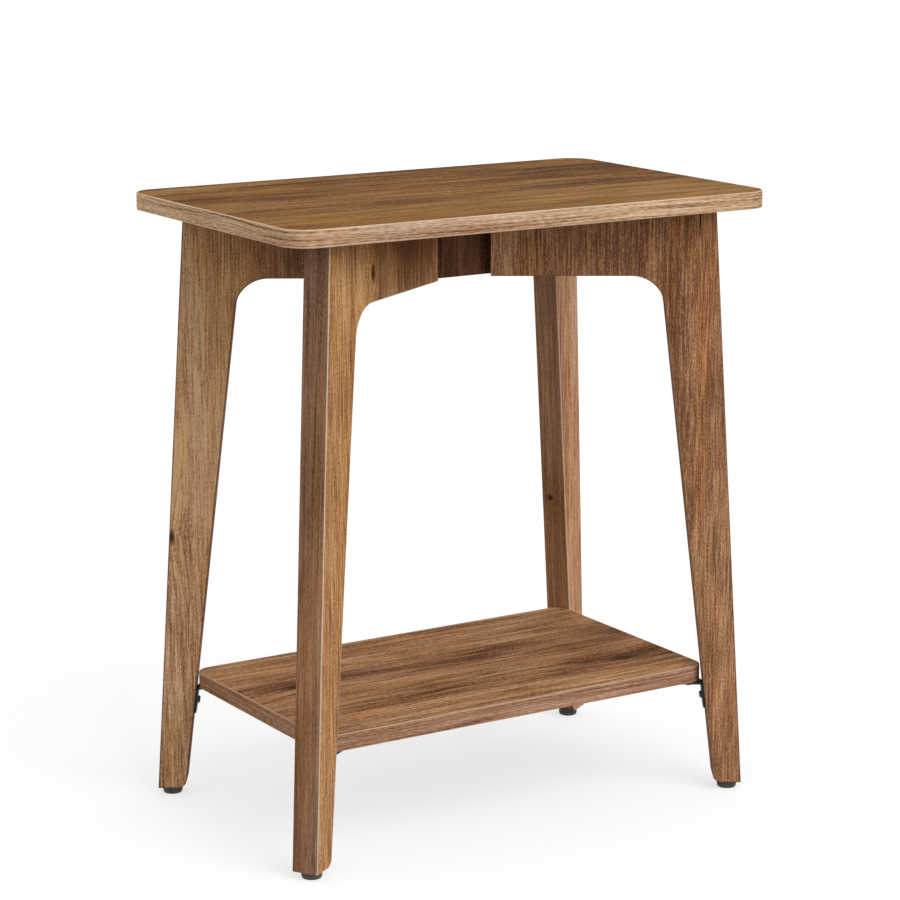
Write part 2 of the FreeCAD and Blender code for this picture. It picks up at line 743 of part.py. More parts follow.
make_top()
make_shelf()
for leg in LEGS:
    make_leg(*leg)
    make_leg_band(*leg)
    make_bracket(*leg)
    make_foot(*leg)
make_rail()
make_top_bolts()
make_insert_nuts()
make_dowels()
make_bracket_screws()
make_foot_screws()
doc.recompute()

for item in doc.Objects:
    if "Invalid" in item.State or "Error" in item.State:
        raise RuntimeError(f"{item.Name} did not recompute: {item.State}")
for node in nodes:
    if node.Shape.isNull() or not node.Shape.isValid():
        raise RuntimeError(f"{node.Label} has no valid shape")

os.makedirs("parts", exist_ok=True)
for node in nodes:
    node.Shape.exportStep(f"parts/{node.Label}.step")
    print(f"{node.Label}: {len(node.Shape.Solids)} solid(s), {node.Shape.Volume:.0f} mm3")
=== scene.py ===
"""Side table with a lower shelf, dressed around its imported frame.

Four inverted-L leg boards stand on the two forks of a plan like >-<, carry a banded top and hold
a banded shelf on black corner brackets.  Sizes are millimetres and degrees in the dataclasses and
become metres where a mesh is made.  Places on the grain are metres, as the shader reads them.
"""

import logging
import math
from dataclasses import dataclass, field
from enum import Enum
from typing import Any, Callable, Mapping, Sequence, Union

import bmesh
import bpy
from mathutils import Matrix, Vector


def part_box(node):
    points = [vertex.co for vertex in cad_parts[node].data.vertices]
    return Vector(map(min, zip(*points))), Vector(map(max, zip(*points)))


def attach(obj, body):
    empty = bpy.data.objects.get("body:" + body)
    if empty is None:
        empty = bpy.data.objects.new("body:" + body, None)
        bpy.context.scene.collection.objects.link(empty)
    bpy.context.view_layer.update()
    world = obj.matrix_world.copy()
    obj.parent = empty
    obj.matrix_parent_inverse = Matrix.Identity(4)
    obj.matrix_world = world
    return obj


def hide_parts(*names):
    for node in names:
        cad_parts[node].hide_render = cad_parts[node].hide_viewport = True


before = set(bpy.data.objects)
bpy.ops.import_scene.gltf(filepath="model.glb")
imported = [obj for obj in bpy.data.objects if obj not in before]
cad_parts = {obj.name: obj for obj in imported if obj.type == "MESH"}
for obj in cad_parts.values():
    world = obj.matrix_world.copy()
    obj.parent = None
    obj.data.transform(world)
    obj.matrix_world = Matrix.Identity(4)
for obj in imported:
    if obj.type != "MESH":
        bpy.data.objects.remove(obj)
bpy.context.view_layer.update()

MM = 0.001
BODY = "root"
WELD = 1e-7
log = logging.getLogger("side_table")


# ---------------------------------------------------------------- node trees


class Sock:
    """Output of a node that takes part in arithmetic by adding Math nodes to its own tree."""

    def __init__(self, tree: "Tree", socket: bpy.types.NodeSocket) -> None:
        """Wraps a socket.

        Args:
            tree: Builder of the tree that the socket is in.
            socket: The output socket.
        """
        self.tree = tree
        self.socket = socket

    def beside(self, name: str) -> "Sock":
        """Another output of the same node."""
        return Sock(self.tree, self.socket.node.outputs[name])

    def maths(self, operation: str, *values: "Value") -> "Sock":
        """Result of a Math node.

        Args:
            operation: The node's operation.
            values: Its inputs in order.

        Returns:
            The node's output.
        """
        return self.tree.add("ShaderNodeMath", {"operation": operation}, dict(enumerate(values)))

    def __add__(self, other: "Value") -> "Sock":
        """Sum."""
        return self.maths("ADD", self, other)

    def __radd__(self, other: "Value") -> "Sock":
        """Sum with a number on the left."""
        return self.maths("ADD", other, self)

    def __sub__(self, other: "Value") -> "Sock":
        """Difference."""
        return self.maths("SUBTRACT", self, other)

    def __rsub__(self, other: "Value") -> "Sock":
        """Difference from a number on the left."""
        return self.maths("SUBTRACT", other, self)

    def __mul__(self, other: "Value") -> "Sock":
        """Product."""
        return self.maths("MULTIPLY", self, other)

    def __rmul__(self, other: "Value") -> "Sock":
        """Product with a number on the left."""
        return self.maths("MULTIPLY", other, self)

    def __truediv__(self, other: "Value") -> "Sock":
        """Quotient."""
        return self.maths("DIVIDE", self, other)

    def __abs__(self) -> "Sock":
        """Absolute value."""
        return self.maths("ABSOLUTE", self)


Value = Union[Sock, float]


class Tree:
    """Builder of one node tree."""

    def __init__(self, tree: bpy.types.NodeTree) -> None:
        """Starts on a tree with no nodes in it.

        Args:
            tree: The tree to fill.
        """
        self.tree = tree
        self.tree.nodes.clear()

    def add(
        self,
        kind: str,
        settings: Mapping[str, Any] | None = None,
        inputs: Mapping[Union[str, int], Any] | None = None,
        output: Union[str, int] = 0,
    ) -> Sock:
        """Adds a node.

        Args:
            kind: The node's type.
            settings: The node's own settings, set before its sockets; stops are a ramp's
                positions and colours.
            inputs: Values or links of its input sockets, by name or number.
            output: Which output to return.

        Returns:
            The chosen output.
        """
        node = self.tree.nodes.new(kind)
        for name, value in (settings or {}).items():
            if name == "stops":
                self.set_stops(node.color_ramp, value)
            else:
                setattr(node, name, value)
        for key, value in (inputs or {}).items():
            if isinstance(value, Sock):
                self.tree.links.new(value.socket, node.inputs[key])
            else:
                node.inputs[key].default_value = value
        return Sock(self, node.outputs[output])

    def finish(self, kind: str, inputs: Mapping[Union[str, int], Sock]) -> None:
        """Adds the tree's output node, which has no outputs of its own.

        Args:
            kind: The node's type.
            inputs: Links of its input sockets, by name or number.
        """
        node = self.tree.nodes.new(kind)
        for key, value in inputs.items():
            self.tree.links.new(value.socket, node.inputs[key])

    @staticmethod
    def set_stops(ramp: bpy.types.ColorRamp, stops: Sequence[tuple[float, Sequence[float]]]) -> None:
        """Sets a colour ramp's stops.

        Args:
            ramp: The ramp.
            stops: Positions and colours from left to right.
        """
        while len(ramp.elements) < len(stops):
            ramp.elements.new(1.0)
        for element, (position, colour) in zip(ramp.elements, stops):
            element.position = position
            element.color = colour


def tone(code: str) -> tuple[float, float, float, float]:
    """Linear colour of an sRGB code.

    Args:
        code: Six hexadecimal digits, such as a07850.

    Returns:
        Red, green, blue and alpha.
    """
    channels = [int(code[i : i + 2], 16) / 255 for i in (0, 2, 4)]
    linear = [c / 12.92 if c <= 0.04045 else ((c + 0.055) / 1.055) ** 2.4 for c in channels]
    return (*linear, 1.0)


class Shader(Tree):
    """Builder of one material."""

    def __init__(self, name: str) -> None:
        """Makes an empty material.

        Args:
            name: The material's name.
        """
        self.material = bpy.data.materials.new(name)
        self.material.use_nodes = True
        super().__init__(self.material.node_tree)

    def vector(self, x: Value, y: Value, z: Value) -> Sock:
        """Vector of three values."""
        return self.add("ShaderNodeCombineXYZ", None, {0: x, 1: y, 2: z})

    def parts(self, value: Sock) -> tuple[Sock, Sock, Sock]:
        """A vector's three parts."""
        x = self.add("ShaderNodeSeparateXYZ", None, {0: value})
        return x, x.beside("Y"), x.beside("Z")

    def noise(self, place: Sock, detail: float = 2.0, roughness: float = 0.5) -> Sock:
        """Noise of about one feature to a unit.

        Args:
            place: Coordinates.
            detail: Octaves.
            roughness: Share of each further octave.

        Returns:
            A value round one half.
        """
        inputs = {"Vector": place, "Scale": 1.0, "Detail": detail, "Roughness": roughness}
        return self.add("ShaderNodeTexNoise", None, inputs)

    def smooth(self, value: Value, low: float, high: float) -> Sock:
        """Value that goes smoothly from 0 at low to 1 at high."""
        settings = {"interpolation_type": "SMOOTHSTEP"}
        return self.add("ShaderNodeMapRange", settings, {"Value": value, "From Min": low, "From Max": high})

    def mix(self, factor: Value, first: Any, second: Any) -> Sock:
        """Colour between two colours."""
        return self.blend("MIX", factor, first, second)

    def blend(self, way: str, factor: Value, first: Any, second: Any) -> Sock:
        """Two colours put together.

        Args:
            way: Blend type, such as MIX or MULTIPLY.
            factor: Share of the second colour.
            first: Colour or link.
            second: Colour or link.

        Returns:
            The colour.
        """
        settings = {"data_type": "RGBA", "blend_type": way}
        return self.add("ShaderNodeMix", settings, {0: factor, 6: first, 7: second}, 2)

    def ramp(self, factor: Value, stops: Sequence[tuple[float, str]]) -> Sock:
        """Colour ramp.

        Args:
            factor: Where to read it.
            stops: Positions and sRGB codes.

        Returns:
            The colour.
        """
        colours = [(position, tone(code)) for position, code in stops]
        return self.add("ShaderNodeValToRGB", {"stops": colours}, {0: factor})

    def surface(self, inputs: Mapping[str, Any], height: Sock, depth: float) -> bpy.types.Material:
        """Ends the material with a Principled shader and a bump.

        Args:
            inputs: The shader's sockets.
            height: Relief, about 0 to 1.
            depth: Depth of the relief in metres.

        Returns:
            The material.
        """
        bump = self.add("ShaderNodeBump", None, {"Strength": 1.0, "Distance": depth, "Height": height})
        shader = self.add("ShaderNodeBsdfPrincipled", None, {**inputs, "Normal": bump})
        self.finish("ShaderNodeOutputMaterial", {"Surface": shader})
        return self.material


class Recipe(Tree):
    """Builder of one Geometry Nodes tree with named inputs."""

    def __init__(self, name: str, inputs: Mapping[str, str]) -> None:
        """Makes a tree that takes and gives a geometry.

        Args:
            name: The tree's name.
            inputs: Names and socket types of its inputs after the geometry.
        """
        super().__init__(bpy.data.node_groups.new(name, "GeometryNodeTree"))
        self.tree.interface.new_socket("Geometry", in_out="INPUT", socket_type="NodeSocketGeometry")
        self.tree.interface.new_socket("Geometry", in_out="OUTPUT", socket_type="NodeSocketGeometry")
        for label, kind in inputs.items():
            self.tree.interface.new_socket(label, in_out="INPUT", socket_type=kind)
        self.given = self.add("NodeGroupInput")

    def attribute(self, name: str, kind: str = "FLOAT") -> Sock:
        """Named attribute of the geometry at hand."""
        return self.add("GeometryNodeInputNamedAttribute", {"data_type": kind}, {"Name": name})

    def store(
        self, geometry: Sock, name: str, value: Value, kind: str = "FLOAT", domain: str = "POINT"
    ) -> Sock:
        """Geometry with one more named attribute.

        Args:
            geometry: What gets the attribute.
            name: The attribute's name.
            value: Its value.
            kind: Its data type.
            domain: Where it is kept.

        Returns:
            The geometry.
        """
        settings = {"data_type": kind, "domain": domain}
        inputs = {"Geometry": geometry, "Name": name, "Value": value}
        return self.add("GeometryNodeStoreNamedAttribute", settings, inputs)

    def close(self, geometry: Sock) -> None:
        """Realises the result, gives it its finish and ends the tree.

        Args:
            geometry: The result.
        """
        real = self.add("GeometryNodeRealizeInstances", None, {"Geometry": geometry})
        inputs = {"Geometry": real, "Material": self.given.beside("Finish")}
        self.finish("NodeGroupOutput", {0: self.add("GeometryNodeSetMaterial", None, inputs)})

    def bake(self, host: bpy.types.Mesh, name: str, values: Mapping[str, Any]) -> bpy.types.Object:
        """Runs the tree on a mesh and keeps the result as a plain object.

        Args:
            host: Mesh that the tree starts from.
            name: Name of the piece.
            values: Inputs by name.

        Returns:
            The finished object, with no modifier.
        """
        piece = link(bpy.data.objects.new(name, host))
        modifier = piece.modifiers.new(self.tree.name, "NODES")
        modifier.node_group = self.tree
        for item in self.tree.interface.items_tree:
            if item.in_out == "INPUT" and item.name in values:
                modifier[item.identifier] = values[item.name]
        return baked(piece)


# ---------------------------------------------------------------- meshes


def link(piece: bpy.types.Object) -> bpy.types.Object:
    """Puts an object in the scene."""
    bpy.context.scene.collection.objects.link(piece)
    return piece


def baked(piece: bpy.types.Object) -> bpy.types.Object:
    """Replaces an object's mesh by what its modifiers make of it, and removes them.

    Args:
        piece: The object.

    Returns:
        The same object.
    """
    bpy.context.view_layer.update()
    graph = bpy.context.evaluated_depsgraph_get()
    result = bpy.data.meshes.new_from_object(piece.evaluated_get(graph), depsgraph=graph)
    piece.modifiers.clear()
    piece.data = result
    result.name = piece.name
    return piece


def discard(piece: bpy.types.Object) -> None:
    """Removes a helper object."""
    bpy.data.objects.remove(piece)


def new_mesh(name: str, build: Callable[[bmesh.types.BMesh], None]) -> bpy.types.Mesh:
    """Closed mesh with its faces turned outwards.

    Args:
        name: The mesh's name.
        build: Adds the faces, in metres.

    Returns:
        The mesh.
    """
    work = bmesh.new()
    build(work)
    bmesh.ops.remove_doubles(work, verts=work.verts, dist=WELD)
    bmesh.ops.recalc_face_normals(work, faces=work.faces)
    mesh = bpy.data.meshes.new(name)
    work.to_mesh(mesh)
    work.free()
    return mesh


def point_out(mesh: bpy.types.Mesh) -> None:
    """Turns a closed mesh right side out if it is inside out.

    Args:
        mesh: The mesh.
    """
    work = bmesh.new()
    work.from_mesh(mesh)
    if work.calc_volume(signed=True) < 0:
        bmesh.ops.reverse_faces(work, faces=work.faces)
        work.to_mesh(mesh)
    work.free()


def facet_by_angle(mesh: bpy.types.Mesh, degrees: float) -> None:
    """Smooths a mesh except across edges that turn by more than an angle."""
    mesh.shade_smooth()
    mesh.set_sharp_from_angle(angle=math.radians(degrees))


def turned(name: str, profile: Sequence[tuple[float, float]], steps: int) -> bpy.types.Mesh:
    """Mesh of a half section turned round Z.

    Args:
        name: The mesh's name.
        profile: Radii and heights in millimetres, from the axis round to the axis, or a loop.
        steps: Facets round the axis.

    Returns:
        The mesh.
    """

    def build(work: bmesh.types.BMesh) -> None:
        """Joins the profile at each step round the axis with the one before it.

        Args:
            work: Gets the faces.
        """
        rings = []
        for step in range(steps):
            x, y = (part(math.tau * step / steps) * MM for part in (math.cos, math.sin))
            rings.append([work.verts.new((r * x, r * y, z * MM)) for r, z in profile])
        first = 0 if profile[0][0] > 0 else 1
        for k in range(steps):
            before, here = rings[k - 1], rings[k]
            for i in range(first, len(profile)):
                work.faces.new((before[i - 1], before[i], here[i], here[i - 1]))

    return new_mesh(name, build)


def rounded(profile: Sequence[tuple[float, ...]], segments: int = 4) -> list[tuple[float, float]]:
    """Profile whose corners with a third number are rounded to that radius.

    Args:
        profile: Points in order, each (x, y) or (x, y, radius).
        segments: Facets to a corner.

    Returns:
        Plain points.
    """
    points: list[tuple[float, float]] = []
    for index, corner in enumerate(profile):
        here = Vector(corner[:2])
        if len(corner) == 2:
            points.append((here.x, here.y))
            continue
        back = (Vector(profile[index - 1][:2]) - here).normalized()
        on = (Vector(profile[(index + 1) % len(profile)][:2]) - here).normalized()
        half = back.angle(on) / 2
        centre = here + (back + on).normalized() * corner[2] / math.sin(half)
        start = here + back * corner[2] / math.tan(half) - centre
        turn = start.angle_signed(here + on * corner[2] / math.tan(half) - centre)
        for step in range(segments + 1):
            spoke = Matrix.Rotation(-turn * step / segments, 2) @ start
            points.append((centre.x + spoke.x, centre.y + spoke.y))
    return points


def prism(name: str, outline: Sequence[tuple[float, float]], low: float, high: float) -> bpy.types.Mesh:
    """Upright prism.

    Args:
        name: The mesh's name.
        outline: Its plan in millimetres.
        low: Lower level.
        high: Upper level.

    Returns:
        The mesh.
    """

    def build(work: bmesh.types.BMesh) -> None:
        """Closes the two rings with faces and walls.

        Args:
            work: Gets the faces.
        """
        rings = [[work.verts.new((x * MM, y * MM, z * MM)) for x, y in outline] for z in (low, high)]
        for ring in rings:
            work.faces.new(ring)
        for i in range(len(outline)):
            work.faces.new((rings[0][i - 1], rings[0][i], rings[1][i], rings[1][i - 1]))

    return new_mesh(name, build)


def carved(name: str, blank: bpy.types.Mesh, tool: bpy.types.Mesh) -> bpy.types.Object:
    """Cuts one mesh out of another.

    Args:
        name: Name of the result.
        blank: What is cut.
        tool: What is cut away.

    Returns:
        The carved object.
    """
    piece = link(bpy.data.objects.new(name, blank))
    cutter = link(bpy.data.objects.new(f"{name}_tool", tool))
    modifier = piece.modifiers.new("cut", "BOOLEAN")
    modifier.operation = "DIFFERENCE"
    modifier.object = cutter
    baked(piece)
    discard(cutter)
    return piece


def fit(piece: bpy.types.Object, slot: str, *nodes: str) -> None:
    """Hangs a finished piece on the table's body in the place of its CAD nodes.

    Args:
        piece: The piece.
        slot: The record's material slot; not used.
        nodes: CAD nodes that it stands for.
    """
    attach(piece, BODY)
    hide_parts(*nodes)
    log.info("%s: %d faces, stands for %s", piece.name, len(piece.data.polygons), ", ".join(nodes))


# ---------------------------------------------------------------- corners


class Leg(Enum):
    """The four leg boards and the sides of the table that they stand on."""

    FRONT_LEFT = ("front_left", -1, -1)
    BACK_LEFT = ("back_left", -1, 1)
    FRONT_RIGHT = ("front_right", 1, -1)
    BACK_RIGHT = ("back_right", 1, 1)

    @property
    def label(self) -> str:
        """Name of the corner."""
        return self.value[0]

    @property
    def sides(self) -> tuple[int, int]:
        """Signs of X and Y at the corner."""
        return self.value[1:]

    def board_frame(self, table: "Table") -> Matrix:
        """Where a leg board's own frame stands: X outwards along the board, Y up.

        Args:
            table: Sizes of the table.

        Returns:
            The frame's matrix in metres.
        """
        side_x, side_y = self.sides
        angle = math.radians(table.leg_angle)
        out = Vector((side_x * math.cos(angle), side_y * math.sin(angle), 0.0))
        up = Vector((0.0, 0.0, 1.0))
        axes = Matrix((out, up, out.cross(up))).transposed().to_4x4()
        return Matrix.Translation((side_x * table.fork_offset * MM, 0.0, 0.0)) @ axes


# ---------------------------------------------------------------- wood finishes


class Course(Enum):
    """Which way the grain runs and where its coordinates come from."""

    ALONG_X = "flat boards, grain along the table"
    UPRIGHT = "leg boards and rail, grain up the leg"
    BAND = "edge banding, grain along the strip"


@dataclass(frozen=True)
class Patch:
    """A darker, lighter or tinted patch: of the print, or painted shade under the top and between parts.

    Attributes:
        along: Metres along the grain.
        across: Metres across it.
        length: Reach along the grain in metres.
        width: Reach across it.
        shade: How much darker, or, where negative, lighter.
        leg: The leg that it is on, or None for every board.
        tint: Tone that is multiplied over it, or nothing.
    """

    along: float
    across: float
    length: float
    width: float
    shade: float
    leg: Leg | None = None
    tint: str = ""


@dataclass(frozen=True)
class Knot(Patch):
    """A patch with a dark heart that the grain flows round.

    Attributes:
        lift: How far it pushes the fibres aside, in metres.
        heart: Size of its heart as a share of the patch.
        ragged: How ragged the heart's rim is.
        tone: Tone of the heart.
    """

    lift: float = 0.0
    heart: float = 0.24
    ragged: float = 1.4
    tone: str = "3c2414"


@dataclass(frozen=True)
class Joint:
    """Printed joint between two planks: its place in metres across the grain and its step of tone."""

    across: float
    step: float


@dataclass(frozen=True)
class Layer:
    """Noise in the print: features to a metre along and across the grain, and its weight."""

    along: float
    across: float
    shift: float = 0.0
    detail: float = 2.0
    roughness: float = 0.5
    gain: float = 1.0

    def read(self, shader: Shader, along: Sock, across: Sock, seed: Value) -> Sock:
        """Reads the noise, without its weight.

        Args:
            shader: The material's builder.
            along: Metres along the grain.
            across: Metres across it.
            seed: Number that sets boards apart.

        Returns:
            A value round zero.
        """
        place = shader.vector(along * self.along, across * self.across, seed + self.shift)
        return shader.noise(place, self.detail, self.roughness) - 0.5


@dataclass
class Grain:
    """Where a print is read: metres on the board, the fibres' bent course, its seed and its tone."""

    shader: Shader
    along: Sock
    across: Sock
    seed: Sock
    level: Sock
    course: Sock = field(init=False)

    def __post_init__(self) -> None:
        """Starts with straight fibres."""
        self.course = self.across

    def read(self, layer: Layer) -> Sock:
        """A layer's noise along the course of the fibres."""
        return layer.read(self.shader, self.along, self.course, self.seed)

    def read_flat(self, layer: Layer) -> Sock:
        """A layer's noise that takes no notice of how the fibres bend."""
        return layer.read(self.shader, self.along, self.across, self.seed)


@dataclass(frozen=True)
class Wood:
    """Printed rustic oak: long streaks, fine fibres, dark pores and small checks.

    Attributes:
        name: The material's name.
        course: Which way the grain runs.
        stops: Tones from dark to light.
        pore: Tone of the pores and of the lines between planks.
        pore_share: How strongly they show.
        amber: Tint of the warmer clouds.
        blush: Tint of the redder clouds.
        tint_share: How strongly both show.
        broad: Weight of planks and clouds.
        streak: Weight of the streaks.
        fine: Weight of fibres, flecks and grit.
        plank: Planks to a metre across the grain.
        figure: Streaks to a metre across the grain.
        fibre: Fibres to a metre across the grain.
        haste: How much shorter the fine features are.
        sway: How far the fibres wander, in metres.
        board_tones: Steps of tone between the table's quarters.
        board_seeds: Steps of the seed between the table's quarters.
        face_seed: Step of the seed to a metre of height on a flat board.
        leaf_seed: Step of the seed to a metre through a leg board.
        seed: The print's own seed.
        arris: Tone of the pale line along the arrises, partly wear of the banding and partly painted
            highlight, or nothing.
        arris_share: How strongly it shows.
        arris_from: Where the line begins, in millimetres from the board's face.
        arris_to: Where it is whole.
        arris_rub: How ragged it is.
        worn_side: 1 or -1 where the line is painted on one side only, as painted highlight on the lit side,
            or 0 for both.
        half_height: Half the thickness of a banded board.
        roughness: Roughness between fibres and pores.
        rough_by: Change of the roughness with fibres and with pores.
        sheen: The shader's specular level.
        relief: Depth of the relief in millimetres.
        relief_by: Heights of fibres, grit and pores in it.
        patches: Darker and lighter places, of the print and of painted shade.
        knots: Knots.
        joints: Printed joints between planks.
        joint_shift: Steps of the joints' places between the table's quarters.
        joint_edge: Half the soft edge of a joint, in millimetres.
        joint_seed: Step of the seed from plank to plank.
    """

    name: str
    course: Course
    stops: tuple[tuple[float, str], ...]
    pore: str
    pore_share: float = 0.6
    amber: str = "ffe9b2"
    blush: str = "e0c4b9"
    tint_share: float = 0.4
    broad: float = 1.0
    streak: float = 1.0
    fine: float = 1.0
    plank: float = 20.0
    figure: float = 110.0
    fibre: float = 800.0
    haste: float = 1.0
    sway: float = 0.012
    board_tones: tuple[float, float, float] = (0.0, 0.0, 0.0)
    board_seeds: tuple[float, float, float] = (3.7, 9.1, 0.0)
    face_seed: float = 40.0
    leaf_seed: float = 60.0
    seed: float = 0.0
    arris: str = ""
    arris_share: float = 0.75
    arris_from: float = 1.2
    arris_to: float = 0.4
    arris_rub: float = 0.6
    worn_side: float = 0.0
    half_height: float = 0.0
    roughness: float = 0.7
    rough_by: tuple[float, float] = (-0.3, 0.15)
    sheen: float = 0.04
    relief: float = 0.2
    relief_by: tuple[float, float, float] = (0.7, 0.4, -0.5)
    patches: tuple[Patch, ...] = ()
    knots: tuple[Knot, ...] = ()
    joints: tuple[Joint, ...] = ()
    joint_shift: tuple[float, float, float] = (0.0, 0.0, 0.0)
    joint_edge: float = 0.3
    joint_seed: float = 5.3

    def place(self, shader: Shader, table: "Table") -> Grain:
        """Coordinates of the grain.

        Args:
            shader: The material's builder.
            table: Sizes of the table.

        Returns:
            The grain, with a seed that differs from board to board and from face to face, and
            the board's own shift of tone.
        """
        x, y, z = shader.parts(shader.add("ShaderNodeTexCoord", output="Object"))
        quarter = self.by_quarter(shader, self.board_seeds)
        level = self.by_quarter(shader, self.board_tones)
        if self.course is Course.ALONG_X:
            return Grain(shader, x, y, z * self.face_seed + self.seed, level)
        if self.course is Course.BAND:
            along, across, _ = shader.parts(shader.add("ShaderNodeUVMap", {"uv_map": "UVMap"}))
            return Grain(shader, along, across, quarter * float(any(self.board_tones)) + self.seed, level)
        angle = math.radians(table.leg_angle)
        out = abs(x) - table.fork_offset * MM
        reach = out * math.cos(angle) + abs(y) * math.sin(angle)
        offset = abs(y) * math.cos(angle) - out * math.sin(angle)
        return Grain(shader, z, reach, offset * self.leaf_seed + quarter + self.seed, level)

    @staticmethod
    def by_quarter(shader: Shader, steps: tuple[float, float, float]) -> Sock:
        """Number that differs between the table's quarters.

        Args:
            shader: The material's builder.
            steps: Half the step from left to right, from front to back, and from one
                diagonal to the other.

        Returns:
            The number.
        """
        x, y, _ = shader.parts(shader.add("ShaderNodeTexCoord", output="Object"))
        side_x, side_y = x.maths("SIGN", x), y.maths("SIGN", y)
        return side_x * steps[0] + side_y * steps[1] + side_x * side_y * steps[2]

    def make(self, table: "Table") -> bpy.types.Material:
        """Builds the material.

        Args:
            table: Sizes of the table.

        Returns:
            The material.
        """
        shader = Shader(self.name)
        grain = self.place(shader, table)
        near = {patch: self.nearness(grain, patch) for patch in (*self.patches, *self.knots)}
        self.bend(grain, near)
        groove = self.join_planks(grain)
        layers = self.layers()
        waves = {name: grain.read(layer) for name, layer in layers.items()}
        level = grain.level + 0.5
        for name, layer in layers.items():
            level = level + waves[name] * layer.gain
        colour = self.tinted(grain, shader.ramp(level, self.stops), near)
        pore = self.pores(grain)
        dark = pore.maths("MAXIMUM", pore, groove)
        colour = shader.mix(dark * self.pore_share, colour, tone(self.pore))
        for knot in self.knots:
            colour = shader.mix(self.heart(grain, knot), colour, tone(knot.tone))
        if self.arris:
            colour = self.paler_arris(grain, colour)
        fibre_rough, pore_rough = self.rough_by
        rough = waves["fibre"] * fibre_rough + pore * pore_rough + self.roughness
        inputs = {"Base Color": colour, "Roughness": rough, "Specular IOR Level": self.sheen}
        height: Value = 0.5
        for wave, share in zip((waves["fibre"], waves["grit"], pore), self.relief_by):
            height = wave * share + height
        return shader.surface(inputs, height, self.relief * MM)

    def layers(self) -> dict[str, Layer]:
        """Layers of the print's tone, from broad planks to fine grit.

        Returns:
            The layers by name.
        """
        broad, fine, haste = self.broad, self.fine, self.haste
        return {
            "plank": Layer(1.6, self.plank, shift=3.0, gain=1.1 * broad),
            "cloud": Layer(9.0, 34.0, shift=23.0, detail=1.0, gain=0.8 * broad),
            "streak": Layer(4.0, self.figure, shift=7.0, roughness=0.6, gain=self.streak),
            "fibre": Layer(13.0 * haste, self.fibre, shift=11.0, detail=3.0, roughness=0.7, gain=1.8 * fine),
            "fleck": Layer(40.0 * haste, 1.5 * self.fibre, shift=13.0, gain=0.5 * fine),
            "grit": Layer(320.0 * haste, 1000.0, shift=19.0, detail=1.0, gain=fine),
        }

    def bend(self, grain: Grain, near: Mapping[Patch, Sock]) -> None:
        """Lets the fibres wander and flow round the knots, and shades the patches.

        Args:
            grain: The grain, whose course and level change.
            near: Nearness of each patch and knot.
        """
        wander = grain.read_flat(Layer(along=3.0, across=12.0))
        grain.course = grain.across + wander * self.sway
        for knot in self.knots:
            grain.course = grain.course + near[knot] * knot.lift
        for patch, share in near.items():
            grain.level = grain.level - share * patch.shade

    def join_planks(self, grain: Grain) -> Value:
        """Changes the tone and the figure at each printed joint.

        Args:
            grain: The grain, whose level and seed change.

        Returns:
            Share of the dark line between planks.
        """
        groove: Value = 0.0
        print_edge = grain.across + self.by_quarter(grain.shader, self.joint_shift)
        soft = self.joint_edge * MM
        for joint in self.joints:
            past = grain.shader.smooth(print_edge, joint.across - soft, joint.across + soft)
            grain.level = grain.level + past * joint.step
            grain.seed = grain.seed + past * self.joint_seed
            groove = past * (1.0 - past) * 4.0 + groove
        return groove

    def tinted(self, grain: Grain, colour: Sock, near: Mapping[Patch, Sock]) -> Sock:
        """Colour with its amber and reddish clouds and with the patches' own tints.

        Args:
            grain: The grain.
            colour: The colour so far.
            near: Nearness of each patch and knot.

        Returns:
            The colour.
        """
        shader = grain.shader
        for tint, shift in ((self.amber, 29.0), (self.blush, 37.0)):
            cloud = grain.read(Layer(along=3.1, across=36.0, shift=shift, detail=3.0))
            share = shader.smooth(cloud, low=-0.04, high=0.14) * self.tint_share
            colour = shader.blend("MULTIPLY", share, colour, tone(tint))
        for patch, share in near.items():
            if patch.tint:
                colour = shader.blend("MULTIPLY", share, colour, tone(patch.tint))
        return colour

    def pores(self, grain: Grain) -> Sock:
        """Share of the dark pores, which gather in groves.

        Args:
            grain: The grain.

        Returns:
            The share.
        """
        holes = grain.read(Layer(36.0 * self.haste, 1000.0, shift=17.0, detail=0.0))
        groves = grain.read(Layer(5.0 * self.haste, 50.0, shift=31.0, detail=1.0))
        inside = grain.shader.smooth(holes, low=0.06, high=0.22)
        return inside * grain.shader.smooth(groves, low=-0.16, high=0.16)

    def nearness(self, grain: Grain, patch: Patch) -> Sock:
        """Bell round a patch: 1 at its middle and 0 far from it."""
        reach = self.patch_reach(grain, patch, 1.0)
        return reach.maths("EXPONENT", reach * -1.0) * self.at_leg(grain.shader, patch.leg)

    def at_leg(self, shader: Shader, leg: Leg | None) -> Value:
        """Tells the quarter of the table that a leg is in.

        Args:
            shader: The material's builder.
            leg: The leg, or None for the whole table.

        Returns:
            1 in its quarter and 0 elsewhere.
        """
        if leg is None:
            return 1.0
        inside = self.by_quarter(shader, (*leg.sides, 0.0))
        return inside.maths("GREATER_THAN", inside, 1.0)

    def heart(self, grain: Grain, knot: Knot) -> Sock:
        """Share of a knot's dark, ragged heart.

        Args:
            grain: The grain.
            knot: The knot.

        Returns:
            The share.
        """
        ragged = Layer(along=160.0, across=320.0, detail=3.0, roughness=0.6)
        edge = ragged.read(grain.shader, grain.along, grain.across, knot.along)
        reach = self.patch_reach(grain, knot, knot.heart) + edge * knot.ragged
        outside = grain.shader.smooth(reach, low=-0.2, high=1.4)
        return (1.0 - outside) * self.at_leg(grain.shader, knot.leg)

    @staticmethod
    def patch_reach(grain: Grain, patch: Patch, share: float) -> Sock:
        """Squared distance from a patch's middle, in its own lengths and widths.

        Args:
            grain: The grain.
            patch: The patch.
            share: Share of its length and width to measure in.

        Returns:
            The squared distance.
        """
        a = (grain.along - patch.along) / (patch.length * share)
        b = (grain.across - patch.across) / (patch.width * share)
        return a * a + b * b

